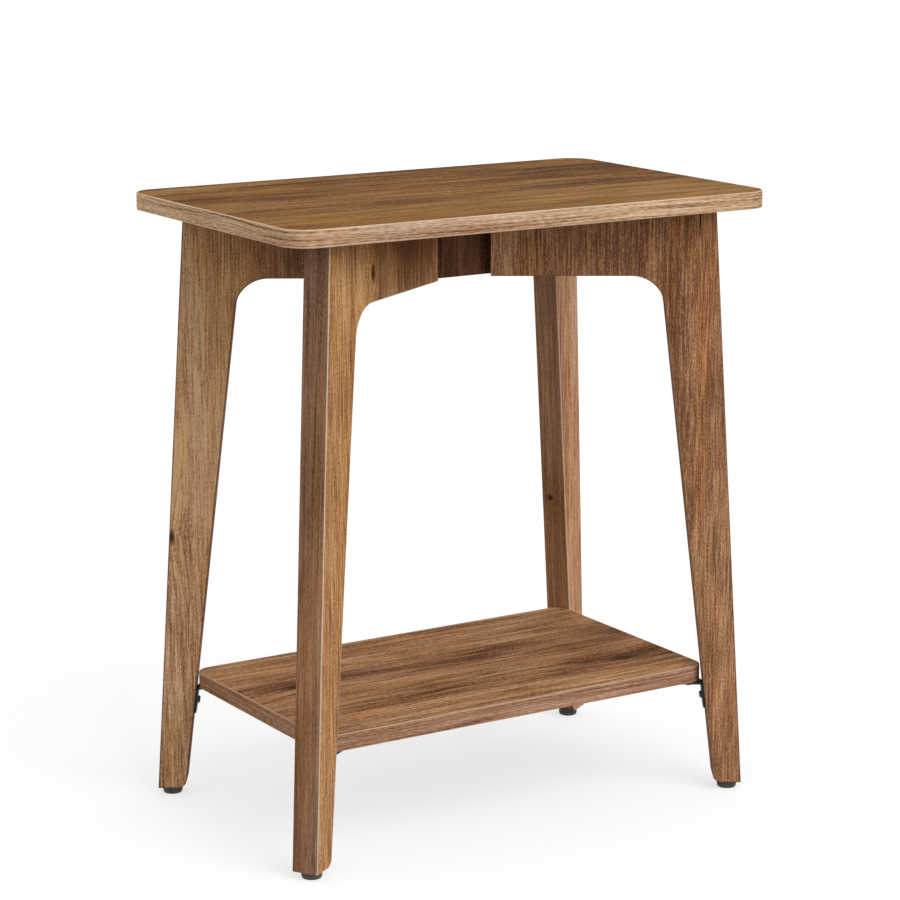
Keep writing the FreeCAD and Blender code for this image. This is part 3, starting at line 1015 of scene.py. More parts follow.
    def paler_arris(self, grain: Grain, colour: Sock) -> Sock:
        """Colour with the paler line along the arrises of a strip, partly wear of the banding and partly
        painted highlight where the rounded edge catches the light.

        Args:
            grain: The grain, whose way across runs from one face of the board to the other.
            colour: The colour so far.

        Returns:
            The colour.
        """
        shader, side = grain.shader, grain.across
        rub = grain.read_flat(Layer(along=45.0, across=300.0, shift=41.0, detail=3.0))
        # Where one side is chosen, the line is painted highlight on the lit side only.
        reach = side * self.by_quarter(shader, (0.0, self.worn_side, 0.0)) if self.worn_side else abs(side)
        begin, end = ((self.half_height - inset) * MM for inset in (self.arris_from, self.arris_to))
        line = shader.smooth(reach + rub * (self.arris_rub * MM), begin, end)
        return shader.mix(line * self.arris_share, colour, tone(self.arris))


# ---------------------------------------------------------------- other finishes


@dataclass(frozen=True)
class Coating:
    """Painted, moulded or plated finish with a fine relief."""

    name: str
    colour: str
    second: str
    roughness: float
    metallic: float = 0.0
    grain: float = 2200.0
    cloud_scale: float = 0.06
    depth: float = 0.03

    def make(self) -> bpy.types.Material:
        """Builds the material.

        Returns:
            The material.
        """
        shader = Shader(self.name)
        place = shader.add("ShaderNodeTexCoord", output="Object")
        fine = [part * self.grain for part in shader.parts(place)]
        speck = shader.noise(shader.vector(*fine), detail=3.0, roughness=0.6)
        cloud = shader.noise(shader.vector(*(part * self.cloud_scale for part in fine)), detail=3.0)
        share = shader.smooth(cloud * 0.7 + speck * 0.3, low=0.38, high=0.62)
        colour = shader.mix(share, tone(self.colour), tone(self.second))
        roughness = self.roughness - 0.08 + speck * 0.1 + cloud * 0.08
        inputs = {"Base Color": colour, "Roughness": roughness, "Metallic": self.metallic}
        return shader.surface(inputs, speck, self.depth * MM)


def board_tint(leg: Leg, tint: str, shade: float = 0.0) -> Patch:
    """Patch that is as large as a leg board, for the board's own tone."""
    return Patch(0.25, 0.2, 1.0, 1.0, shade=shade, leg=leg, tint=tint)


@dataclass
class Palette:
    """Every finish of the table."""

    top: Wood = Wood(
        "top_oak", Course.ALONG_X,
        ((0.0, "482c12"), (0.25, "724b26"), (0.5, "906636"), (0.75, "a27a45"), (1.0, "b6915b")),
        pore="38220f", pore_share=0.35, fine=1.15, streak=0.9, broad=0.75, haste=0.8,
        plank=14.0, figure=90.0, fibre=420.0, seed=5.0,
        joints=(Joint(-0.038, -0.18), Joint(0.07, 0.14)),
    )
    top_band: Wood = Wood(
        "top_band_oak", Course.BAND,
        ((0.0, "7c583c"), (0.25, "b28965"), (0.5, "cca680"), (0.75, "dcba96"), (1.0, "eed2b3")),
        pore="6e4930", pore_share=0.35, fine=1.5, streak=0.9, broad=0.5, haste=0.4,
        # The pale arris line is partly wear of the banding and partly painted highlight.
        plank=60.0, figure=260.0, fibre=620.0, seed=45.0, arris="eaccad", half_height=7.5,
        patches=(Patch(0.62, 0.0, 0.16, 1.0, shade=-0.1, tint="f4f3ff"),),
    )
    shelf: Wood = Wood(
        "shelf_oak", Course.ALONG_X,
        ((0.0, "5a3824"), (0.25, "906442"), (0.5, "ad805a"), (0.75, "c1956d"), (1.0, "d9af87")),
        pore="3c2414", pore_share=0.45, fine=1.25, streak=0.9, broad=0.85, haste=0.8,
        plank=15.0, figure=90.0, fibre=420.0, seed=5.0,
        knots=(
            Knot(along=0.148, across=-0.06, length=0.08, width=0.028, shade=0.3, lift=0.014),
            Knot(along=-0.15, across=0.02, length=0.07, width=0.025, shade=0.3, lift=-0.016),
        ),
        patches=(Patch(-0.19, 0.0, 0.05, 0.3, shade=-0.1),),
        joints=(Joint(-0.071, -0.12), Joint(0.038, 0.12)),
    )
    shelf_band: Wood = Wood(
        "shelf_band_oak", Course.BAND,
        ((0.0, "6d4c37"), (0.25, "976f56"), (0.5, "ad8468"), (0.75, "be967a"), (1.0, "d8b193")),
        pore="4c3122", pore_share=0.35, fine=1.2, streak=0.8, broad=0.7, haste=0.5,
        # The pale arris line is partly wear of the banding and partly painted highlight.
        plank=60.0, figure=260.0, fibre=560.0, seed=11.0, arris="d8b291", half_height=7.5,
    )
    leg: Wood = Wood(
        "leg_oak", Course.UPRIGHT,
        ((0.0, "7a573d"), (0.25, "9a7150"), (0.5, "b88b63"), (0.75, "cfa477"), (1.0, "e6c094")),
        pore="553624", pore_share=0.4, fine=1.25, streak=0.5, broad=0.9, haste=1.5, sway=0.004,
        figure=120.0, fibre=580.0, board_tones=(-0.02, 0.08, 0.12), seed=155.0,
        joints=(Joint(0.101, 0.08), Joint(0.203, 0.05)), joint_shift=(0.018, 0.022, 0.0),
        knots=(
            Knot(0.5, 0.147, 0.05, 0.02, shade=0.08, leg=Leg.FRONT_LEFT, lift=0.012, heart=0.2),
            Knot(0.524, 0.208, 0.08, 0.005, shade=0.1, leg=Leg.FRONT_RIGHT, heart=0.2, tone="1c150b"),
            Knot(0.242, 0.238, 0.035, 0.016, shade=0.15, leg=Leg.BACK_LEFT, lift=-0.006),
        ),
        patches=(
            board_tint(Leg.FRONT_LEFT, "fff8ee"),
            # This patch and the next are painted shade under the top on the front-left wing; the first one's
            # warm tint is painted bounce light in that shade.
            Patch(0.545, 0.07, 0.04, 0.085, shade=0.75, leg=Leg.FRONT_LEFT, tint="ffe7d4"),
            Patch(0.545, 0.17, 0.03, 0.05, shade=0.25, leg=Leg.FRONT_LEFT),
            Patch(0.5, 0.056, 0.04, 0.014, shade=0.3, leg=Leg.FRONT_LEFT),
            Patch(0.52, 0.197, 0.04, 0.012, shade=-0.2, leg=Leg.FRONT_LEFT),
            Patch(0.41, 0.19, 0.07, 0.1, shade=0.12, leg=Leg.FRONT_LEFT),
            Patch(0.05, 0.24, 0.05, 0.1, shade=0.14, leg=Leg.FRONT_LEFT),
            board_tint(Leg.FRONT_RIGHT, "fff7fb"),
            Patch(0.53, 0.04, 0.2, 0.05, shade=-0.2, leg=Leg.FRONT_RIGHT),
            Patch(0.5, 0.055, 0.1, 0.02, shade=-0.22, leg=Leg.FRONT_RIGHT),
            Patch(0.5, 0.095, 0.1, 0.014, shade=0.25, leg=Leg.FRONT_RIGHT),
            Patch(0.5, 0.16, 0.08, 0.018, shade=0.16, leg=Leg.FRONT_RIGHT),
            Patch(0.5, 0.235, 0.12, 0.048, shade=-0.22, leg=Leg.FRONT_RIGHT),
            Patch(0.11, 0.23, 0.1, 0.1, shade=-0.07, leg=Leg.FRONT_RIGHT),
            board_tint(Leg.BACK_LEFT, "f8f8ff", shade=-0.07),
            Patch(0.46, 0.22, 0.04, 0.06, shade=-0.08, leg=Leg.BACK_LEFT),
            # This patch and the next are painted shade under the top on the back-left wing.
            Patch(0.52, 0.1, 0.12, 0.07, shade=0.4, leg=Leg.BACK_LEFT),
            Patch(0.54, 0.16, 0.03, 0.05, shade=0.14, leg=Leg.BACK_LEFT),
            Patch(0.27, 0.21, 0.1, 0.1, shade=-0.18, leg=Leg.BACK_LEFT),
            Patch(0.07, 0.25, 0.1, 0.1, shade=0.18, leg=Leg.BACK_LEFT),
            board_tint(Leg.BACK_RIGHT, "fff4ff", shade=-0.03),
        ),
    )
    rail: Wood = Wood(
        "rail_oak", Course.UPRIGHT,
        ((0.0, "39261d"), (0.25, "5c3e2d"), (0.5, "75513d"), (0.75, "886049"), (1.0, "9d745b")),
        pore="2c1c14", pore_share=0.4, fine=0.9, fibre=460.0, seed=31.0,
        # Painted shade at the rail's end where it meets the front-right wing.
        patches=(Patch(0.5, 0.03, 0.3, 0.015, shade=0.3, leg=Leg.FRONT_RIGHT),),
    )
    leg_band: Wood = Wood(
        "leg_band_oak", Course.BAND,
        ((0.0, "644835"), (0.25, "86634d"), (0.5, "98735a"), (0.75, "a78166"), (1.0, "c19778")),
        pore="442d20", pore_share=0.3, fine=0.9, streak=0.7, broad=0.6,
        plank=50.0, figure=220.0, fibre=520.0, board_tones=(0.02, -0.015, 0.0), seed=17.0,
        # The pale arris line of the leg banding is partly wear and partly painted highlight, shown on the
        # lit side only.
        arris="f0d6bb", worn_side=-1.0, half_height=12.0,
        patches=(
            Patch(0.85, 0.0, 0.16, 0.2, shade=-0.22, leg=Leg.FRONT_LEFT),
            Patch(1.0, 0.0, 0.1, 0.2, shade=0.2, leg=Leg.FRONT_LEFT),
            Patch(0.26, 0.0, 0.1, 0.2, shade=-0.16, leg=Leg.BACK_RIGHT),
            Patch(0.42, 0.0, 0.14, 0.2, shade=0.0, leg=Leg.BACK_RIGHT, tint="fff9e2"),
        ),
        knots=(Knot(0.389, 0.004, 0.025, 0.025, shade=0.2, leg=Leg.BACK_RIGHT, heart=0.15),),
    )
    steel: Coating = Coating("black_coated_steel", "0d0d0e", "18181a", 0.5)
    screw: Coating = Coating("black_screw_steel", "141415", "202022", 0.42)
    foot: Coating = Coating("black_moulded_foot", "3d3a36", "504c46", 0.55)
    bolt: Coating = Coating("zinc_bolt_steel", "a8a9ac", "c2c2c4", 0.32, metallic=1.0)
    insert: Coating = Coating("zinc_insert", "b6ae98", "cdc6b0", 0.36, metallic=1.0)
    dowel: Coating = Coating("beech_dowel", "cfa777", "dfbd90", 0.6, grain=900.0)


# ---------------------------------------------------------------- sizes


@dataclass(frozen=True)
class Table:
    """Sizes of the table, as its construction has them."""

    height: float = 550.0
    top_thickness: float = 15.0
    top_corner: float = 24.0
    shelf_height: float = 116.0
    shelf_thickness: float = 15.0
    shelf_corner: float = 15.0
    band: float = 1.0
    leg_angle: float = 32.0
    fork_offset: float = 13.0
    leg_thickness: float = 24.0
    wing_depth: float = 60.0
    wing_start: float = 24.5
    outer_top: float = 222.0
    outer_foot: float = 254.5
    inner_top: float = 175.0
    foot_width: float = 25.0
    armpit: float = 30.0
    toe: float = 8.0
    foot_height: float = 7.0
    foot_inset: float = 12.0
    counterbore: float = 13.0
    bolt_reach: float = 100.0
    bolt_sink: float = 10.0

    @property
    def top_underside(self) -> float:
        """Level of the top's underside."""
        return self.height - self.top_thickness

    @property
    def wing_underside(self) -> float:
        """Level of the wings' underside."""
        return self.top_underside - self.wing_depth

    @property
    def shelf_underside(self) -> float:
        """Level of the shelf's underside."""
        return self.shelf_height - self.shelf_thickness

    @property
    def inner_foot(self) -> float:
        """Reach of a leg's inner edge at its foot."""
        return self.outer_foot - self.foot_width

    @property
    def lean(self) -> float:
        """Lean of a leg's inner edge, in radians."""
        return math.atan2(self.inner_foot - self.inner_top, self.wing_underside - self.foot_height)

    @property
    def inner_down(self) -> Vector:
        """Direction down a leg's inner edge, in the leg board's frame."""
        return Vector((math.sin(self.lean), -math.cos(self.lean)))

    @property
    def inner_out(self) -> Vector:
        """Direction into the leg, square to its inner edge."""
        return Vector((math.cos(self.lean), math.sin(self.lean)))

    def inner_edge(self, level: float) -> float:
        """Reach of a leg's inner edge at a level."""
        return self.inner_top + (self.wing_underside - level) * math.tan(self.lean)


# ---------------------------------------------------------------- pieces


@dataclass
class EdgeBands:
    """Edge banding: a strip with rounded arrises swept along each board's outline."""

    table: Table
    arris: float = 0.8
    corner_facets: int = 24
    arris_facets: int = 4
    facet_limit: float = 10.0
    bore_facets: int = 48
    weld: float = 0.001
    recipe: Recipe = field(init=False)

    def __post_init__(self) -> None:
        """Builds the Geometry Nodes tree that sweeps a strip along a path."""
        sockets = {
            "Thickness": "NodeSocketFloat",
            "Height": "NodeSocketFloat",
            "Arris": "NodeSocketFloat",
            "Corner Facets": "NodeSocketInt",
            "Arris Facets": "NodeSocketInt",
            "Cap Ends": "NodeSocketBool",
            "Bore": "NodeSocketObject",
            "Finish": "NodeSocketMaterial",
        }
        recipe = Recipe("edge_band", sockets)
        ends, cutter = recipe.given.beside("Cap Ends"), recipe.given.beside("Bore")
        sweep = {"Curve": self.path(recipe), "Profile Curve": self.section(recipe), "Fill Caps": ends}
        strip = recipe.add("GeometryNodeCurveToMesh", None, sweep)
        parts = {0: recipe.attribute("along"), 1: recipe.attribute("side")}
        place = recipe.add("ShaderNodeCombineXYZ", None, parts)
        strip = recipe.store(strip, "UVMap", place, "FLOAT2", "CORNER")
        doubles = {"Geometry": strip, "Distance": self.weld * MM}
        strip = recipe.add("GeometryNodeMergeByDistance", None, doubles)
        bore = recipe.add("GeometryNodeObjectInfo", None, {"Object": cutter}, "Geometry")
        cut = {"Mesh 1": strip, "Mesh 2": bore}
        recipe.close(recipe.add("GeometryNodeMeshBoolean", {"operation": "DIFFERENCE"}, cut))
        self.recipe = recipe

    def path(self, recipe: Recipe) -> Sock:
        """The path with rounded corners, and its length kept as the attribute along.

        Args:
            recipe: The tree's builder.

        Returns:
            The curve.
        """
        given = recipe.given
        path = recipe.add("GeometryNodeMeshToCurve", None, {"Mesh": given})
        path = self.fillet(recipe, path, recipe.attribute("corner_radius"), given.beside("Corner Facets"))
        path = recipe.add("GeometryNodeSetCurveNormal", {"mode": "Z_UP"}, {"Curve": path})
        return recipe.store(path, "along", recipe.add("GeometryNodeSplineParameter", output="Length"))

    def section(self, recipe: Recipe) -> Sock:
        """The strip's cross-section with its outer arrises rounded, kept as the attribute side.

        Args:
            recipe: The tree's builder.

        Returns:
            The curve.
        """
        given = recipe.given
        thickness = given.beside("Thickness")
        size = {"Width": thickness, "Height": given.beside("Height")}
        section = recipe.add("GeometryNodeCurvePrimitiveQuadrilateral", None, size)
        shift = recipe.add("ShaderNodeCombineXYZ", None, {0: thickness * -0.5})
        section = recipe.add("GeometryNodeTransform", None, {"Geometry": section, "Translation": shift})
        spot = recipe.add("ShaderNodeSeparateXYZ", None, {0: recipe.add("GeometryNodeInputPosition")})
        outside = spot.maths("GREATER_THAN", spot, thickness * -0.5)
        arris = outside * given.beside("Arris")
        section = self.fillet(recipe, section, arris, given.beside("Arris Facets"))
        return recipe.store(section, "side", spot.beside("Y"))

    @staticmethod
    def fillet(recipe: Recipe, curve: Sock, radius: Sock, facets: Sock) -> Sock:
        """Curve with its corners rounded to a radius that each point has."""
        inputs = {"Curve": curve, "Radius": radius, "Count": facets}
        return recipe.add("GeometryNodeFilletCurve", {"mode": "POLY"}, inputs)

    def bore(self) -> bpy.types.Object:
        """Cutter for the bolt's counterbore under one wing, in the leg board's frame.

        Returns:
            The cutter, as a helper object.
        """
        table = self.table

        def build(work: bmesh.types.BMesh) -> None:
            """Stands a plain cylinder through the wing's underside.

            Args:
                work: Gets the faces.
            """
            matrix = Matrix.Translation((table.bolt_reach * MM, table.wing_underside * MM, 0.0))
            matrix = matrix @ Matrix.Rotation(math.pi / 2, 4, "X")
            radius = table.counterbore / 2 * MM
            ends = {"radius1": radius, "radius2": radius, "depth": 4 * table.band * MM}
            bmesh.ops.create_cone(work, cap_ends=True, segments=self.bore_facets, matrix=matrix, **ends)

        return link(bpy.data.objects.new("bore", new_mesh("bore", build)))

    def strip(
        self,
        name: str,
        corners: Sequence[tuple[float, ...]],
        height: float,
        finish: bpy.types.Material,
        bore: bpy.types.Object | None = None,
    ) -> bpy.types.Object:
        """One strip of banding in its path's own plane.

        Args:
            name: Name of the piece.
            corners: The path in millimetres, each corner (x, y) or (x, y, radius), with the
                board on its left.
            height: Thickness of the board.
            finish: Material.
            bore: Cutter, on a path with open ends.

        Returns:
            The strip.
        """
        host = bpy.data.meshes.new(f"{name}_path")
        pairs = [(i, i + 1) for i in range(len(corners) - 1)]
        host.from_pydata([(x * MM, y * MM, 0.0) for x, y, *_ in corners], pairs, [])
        radii = host.attributes.new("corner_radius", "FLOAT", "POINT")
        radii.data.foreach_set("value", [corner[2] * MM if len(corner) > 2 else 0.0 for corner in corners])
        values = {
            "Thickness": self.table.band * MM,
            "Height": height * MM,
            "Arris": self.arris * MM,
            "Corner Facets": self.corner_facets,
            "Arris Facets": self.arris_facets,
            "Cap Ends": bore is not None,
            "Bore": bore,
            "Finish": finish,
        }
        piece = self.recipe.bake(host, name, values)
        point_out(piece.data)
        facet_by_angle(piece.data, self.facet_limit)
        return piece

    def board(self, board: str, radius: float, height: float, top: float, slot: str, wood: Wood) -> None:
        """Banding round a flat board, with its joint at the middle of the back.

        Args:
            board: The board's name, such as shelf.
            radius: Radius of its corners.
            height: Its thickness.
            top: Level of its upper face.
            slot: The record's material slot.
            wood: Finish.
        """
        low, high = (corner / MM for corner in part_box(f"{board}_edge_band"))
        corners = [
            (0.0, high.y),
            (low.x, high.y, radius),
            (low.x, low.y, radius),
            (high.x, low.y, radius),
            (high.x, high.y, radius),
            (0.0, high.y),
        ]
        piece = self.strip(f"{board}_banding", corners, height, wood.make(self.table))
        piece.data.transform(Matrix.Translation((0.0, 0.0, (top - height / 2) * MM)))
        fit(piece, slot, f"{board}_edge_band")

    def legs(self, wood: Wood) -> None:
        """Banding of the four leg boards, from under the wing round the foot to the top.

        Args:
            wood: Finish.
        """
        table = self.table
        finish = wood.make(table)
        corners = [
            (table.wing_start, table.wing_underside),
            (table.inner_top, table.wing_underside, table.armpit),
            (table.inner_foot, table.foot_height, table.toe),
            (table.outer_foot, table.foot_height),
            (table.outer_top, table.top_underside),
        ]
        for leg in Leg:
            bore = self.bore()
            piece = self.strip(f"leg_banding_{leg.label}", corners, table.leg_thickness, finish, bore)
            discard(bore)
            piece.data.transform(leg.board_frame(table))
            fit(piece, "leg_edge_band", f"leg_edge_band_{leg.label}")


@dataclass
class Boards:
    """The boards that the construction gives, with their printed faces."""

    table: Table

    def dress(self, palette: Palette) -> None:
        """Gives each board its wood.

        Args:
            palette: The finishes.
        """
        leg, rail = palette.leg.make(self.table), palette.rail.make(self.table)
        wear = {
            "top_panel": palette.top.make(self.table),
            "shelf_panel": palette.shelf.make(self.table),
            "centre_rail": rail,
            "centre_rail_edge_band": rail,
            **{f"leg_{corner.label}": leg for corner in Leg},
        }
        for node, finish in wear.items():
            dress_node(node, finish)


def dress_node(node: str, finish: bpy.types.Material) -> None:
    """Gives a CAD node a finish.

    Args:
        node: The node's name.
        finish: The material.
    """
    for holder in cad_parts[node].material_slots:
        holder.material = finish
    log.info("%s: dressed in %s", node, finish.name)


@dataclass
class Brackets:
    """Four bent steel strips that hang the shelf on the legs."""

    table: Table
    thickness: float = 2.0
    width: float = 16.0
    leaf: float = 25.0
    bend: float = 2.5
    end_corner: float = 4.0
    edge: float = 0.35
    facets: int = 6
    edge_facets: int = 2
    facet_limit: float = 35.0

    @property
    def corner(self) -> Vector:
        """Where a leg's inner edge meets the level of the shelf's underside."""
        level = self.table.shelf_underside
        return Vector((self.table.inner_edge(level), level))

    def stations(self) -> list[tuple[Vector, Vector, float]]:
        """Stations along the strip.

        Returns:
            The centre, the direction out of the strip's upper face and the half width of each.
        """
        down, out = self.table.inner_down, self.table.inner_out
        half = self.thickness / 2
        level = self.corner.y - half
        start = Vector((self.corner.x - self.leaf, level))
        end = self.corner + down * self.leaf - out * half
        apex = end - down * ((end.y - level) / down.y)
        middle = rounded([tuple(start), (apex.x, apex.y, self.bend), tuple(end)], self.facets)
        ease = [self.end_corner * (1 - math.cos(math.pi / 2 * k / self.facets)) for k in range(self.facets)]
        first = [start + Vector((1.0, 0.0)) * step for step in ease]
        last = [end - down * step for step in reversed(ease)]
        points = first + [Vector(point) for point in middle[1:-1]] + last
        stations = []
        for index, point in enumerate(points):
            before, after = points[max(index - 1, 0)], points[min(index + 1, len(points) - 1)]
            along = (after - before).normalized()
            from_end = min((point - start).length, (point - end).length, self.end_corner)
            cut = self.end_corner - math.sqrt(self.end_corner**2 - (self.end_corner - from_end) ** 2)
            stations.append((point, Vector((-along.y, along.x)), self.width / 2 - cut))
        return stations

    def section(self, half_width: float) -> list[tuple[float, float]]:
        """Cross-section of the strip with eased edges.

        Args:
            half_width: Half the strip's width there.

        Returns:
            Heights over its middle and places across it.
        """
        half = self.thickness / 2
        corners = [(h * half, w * half_width, self.edge) for h, w in ((1, -1), (1, 1), (-1, 1), (-1, -1))]
        return rounded(corners, self.edge_facets)

    def mesh(self) -> bpy.types.Mesh:
        """The strip in a leg board's frame.

        Returns:
            The mesh.
        """

        def build(work: bmesh.types.BMesh) -> None:
            """Sweeps the strip's section through its stations.

            Args:
                work: Gets the faces.
            """
            rings = []
            for centre, up, half_width in self.stations():
                ring = [
                    work.verts.new(((centre.x + up.x * h) * MM, (centre.y + up.y * h) * MM, w * MM))
                    for h, w in self.section(half_width)
                ]
                rings.append(ring)
            work.faces.new(rings[0])
            work.faces.new(rings[-1])
            for first, second in zip(rings, rings[1:]):
                for i in range(len(first)):
                    work.faces.new((first[i - 1], first[i], second[i], second[i - 1]))

        mesh = new_mesh("shelf_bracket", build)
        facet_by_angle(mesh, self.facet_limit)
        return mesh

    def build(self, coating: Coating) -> None:
        """Makes the four brackets.

        Args:
            coating: Finish.
        """
        finish = coating.make()
        for leg in Leg:
            mesh = self.mesh()
            mesh.transform(leg.board_frame(self.table))
            mesh.materials.append(finish)
            piece = link(bpy.data.objects.new(f"bracket_{leg.label}", mesh))
            fit(piece, "black_steel", f"shelf_bracket_{leg.label}")


@dataclass
class Feet:
    """Four turned plastic feet with a dished rim and a recess for the screw."""

    table: Table
    diameter: float = 18.0
    recess: float = 3.0
    recess_radius: float = 4.0
    hole_radius: float = 2.25
    mouth_round: float = 0.4
    sole_inset: float = 0.6
    sole_round: float = 1.2
    groove_depth: float = 0.5
    groove_levels: tuple[float, float, float, float] = (3.4, 3.9, 4.5, 5.0)
    groove_rounds: tuple[float, float, float, float] = (0.5, 0.3, 0.3, 0.4)
    round_facets: int = 3
    facets: int = 48
    facet_limit: float = 40.0

    def profile(self) -> list[tuple[float, float]]:
        """Half section of a foot that stands on the floor, with a groove round it.

        Returns:
            Radii and heights.
        """
        radius, top = self.diameter / 2, self.table.foot_height
        waist = radius - self.groove_depth
        corners = [
            (self.recess_radius, 0.0, self.mouth_round),
            (radius - self.sole_inset, 0.0, self.sole_round),
            *zip((radius, waist, waist, radius), self.groove_levels, self.groove_rounds),
            (radius, top),
            (self.hole_radius, top),
            (self.hole_radius, self.recess),
            (self.recess_radius, self.recess),
        ]
        return rounded(corners, self.round_facets)

    def build(self, coating: Coating) -> None:
        """Makes the four feet.

        Args:
            coating: Finish.
        """
        finish = coating.make()
        reach = (self.table.outer_foot - self.table.foot_inset) * MM
        for leg in Leg:
            mesh = turned(f"foot_{leg.label}", self.profile(), self.facets)
            facet_by_angle(mesh, self.facet_limit)
            mesh.transform(Matrix.Translation(leg.board_frame(self.table) @ Vector((reach, 0.0, 0.0))))
            mesh.materials.append(finish)
            piece = link(bpy.data.objects.new(f"turned_foot_{leg.label}", mesh))
            fit(piece, "black_plastic", f"foot_{leg.label}")


@dataclass
class Fasteners:
    """Screws and bolts with their driver recesses, set out by Geometry Nodes."""

    table: Table
    brackets: Brackets
    feet: Feet
    screw_seat: float = 13.0
    head_radius: float = 3.5
    head_height: float = 2.2
    head_round: float = 1.6
    head_edge: float = 0.25
    shank_radius: float = 1.75
    point: float = 3.0
    cross_arm: float = 2.1
    cross_half: float = 0.45
    cross_depth: float = 1.3
    bracket_screw: float = 12.0
    foot_screw: float = 20.0
    screw_facets: int = 32
    bolt_head_radius: float = 6.0
    bolt_head_height: float = 3.5
    bolt_head_round: float = 1.0
    bolt_head_edge: float = 0.3
    bolt_radius: float = 3.0
    bolt_length: float = 60.0
    bolt_end_round: float = 0.6
    bolt_facets: int = 40
    socket_width: float = 4.0
    socket_depth: float = 2.2
    tool_clearance: float = 1.0
    facet_limit: float = 35.0
    twist_seed: int = 4
    recipe: Recipe = field(init=False)

    def __post_init__(self) -> None:
        """Builds the tree that puts a turned copy on each point."""
        sockets = {"Source": "NodeSocketObject", "Seed": "NodeSocketInt", "Finish": "NodeSocketMaterial"}
        recipe = Recipe("set_out", sockets)
        given = recipe.given
        source = recipe.add("GeometryNodeObjectInfo", None, {"Object": given.beside("Source")}, "Geometry")
        axis = {"Vector": recipe.attribute("axis", "FLOAT_VECTOR")}
        aim = recipe.add("FunctionNodeAlignRotationToVector", {"axis": "Z"}, axis)
        span = {"Min": 0.0, "Max": math.tau, "Seed": given.beside("Seed")}
        twist = recipe.add("FunctionNodeRandomValue", {"data_type": "FLOAT"}, span, "Value")
        turn = {"Axis": (0.0, 0.0, 1.0), "Angle": twist}
        spin = recipe.add("FunctionNodeAxisAngleToRotation", None, turn)
        both = {"Rotation": aim, "Rotate By": spin}
        turned_copy = recipe.add("FunctionNodeRotateRotation", {"rotation_space": "LOCAL"}, both)
        placed = {"Points": given, "Instance": source, "Rotation": turned_copy}
        recipe.close(recipe.add("GeometryNodeInstanceOnPoints", None, placed))
        self.recipe = recipe

    def wood_screw(self, length: float) -> bpy.types.Object:
        """Pan-head screw that points up from its seat at the origin, with a cross recess.

        Args:
            length: Length under the head.

        Returns:
            The screw, as a helper object.
        """
        head, height, shank = self.head_radius, self.head_height, self.shank_radius
        profile = rounded(
            [
                (0.0, -height),
                (head, -height, self.head_round),
                (head, 0.0, self.head_edge),
                (shank, 0.0),
                (shank, length - self.point),
                (0.0, length),
            ],
            5,
        )
        half, arm = self.cross_half, self.cross_arm
        cross = [
            (arm, -half), (arm, half), (half, half), (half, arm), (-half, arm), (-half, half),
            (-arm, half), (-arm, -half), (-half, -half), (-half, -arm), (half, -arm), (half, -half),
        ]
        tool = prism("cross_recess", cross, -height - self.tool_clearance, self.cross_depth - height)
        screw = carved("wood_screw", turned("wood_screw", profile, self.screw_facets), tool)
        facet_by_angle(screw.data, self.facet_limit)
        return screw

    def bolt(self) -> bpy.types.Object:
        """Flat-headed bolt that points up from its seat at the origin, with a hexagon socket.

        Returns:
            The bolt, as a helper object.
        """
        head, height, shank = self.bolt_head_radius, self.bolt_head_height, self.bolt_radius
        profile = rounded(
            [
                (0.0, -height),
                (head, -height, self.bolt_head_round),
                (head, 0.0, self.bolt_head_edge),
                (shank, 0.0),
                (shank, self.bolt_length, self.bolt_end_round),
                (0.0, self.bolt_length),
            ],
            4,
        )
        across = self.socket_width / 2 / math.cos(math.pi / 6)
        turns = [k * math.pi / 3 for k in range(6)]
        hexagon = [(across * math.cos(turn), across * math.sin(turn)) for turn in turns]
        tool = prism("hexagon_socket", hexagon, -height - self.tool_clearance, self.socket_depth - height)
        bolt = carved("bolt", turned("bolt", profile, self.bolt_facets), tool)
        facet_by_angle(bolt.data, self.facet_limit)
        return bolt

    def set_out(
        self,
        name: str,
        source: bpy.types.Object,
        spots: Sequence[tuple[Vector, Vector]],
        finish: bpy.types.Material,
        slot: str,
        node: str,
    ) -> None:
        """Puts a copy of a fastener on each spot and keeps them as one piece.

        Args:
            name: Name of the piece.
            source: The fastener.
            spots: Seats and directions, in metres.
            finish: Material.
            slot: The record's material slot.
            node: CAD node that the piece stands for.
        """
        host = bpy.data.meshes.new(f"{name}_spots")
        host.from_pydata([tuple(seat) for seat, _ in spots], [], [])
        axes = host.attributes.new("axis", "FLOAT_VECTOR", "POINT")
        axes.data.foreach_set("vector", [part for _, axis in spots for part in axis])
        values = {"Source": source, "Seed": self.twist_seed, "Finish": finish}
        piece = self.recipe.bake(host, name, values)
        discard(source)
        fit(piece, slot, node)

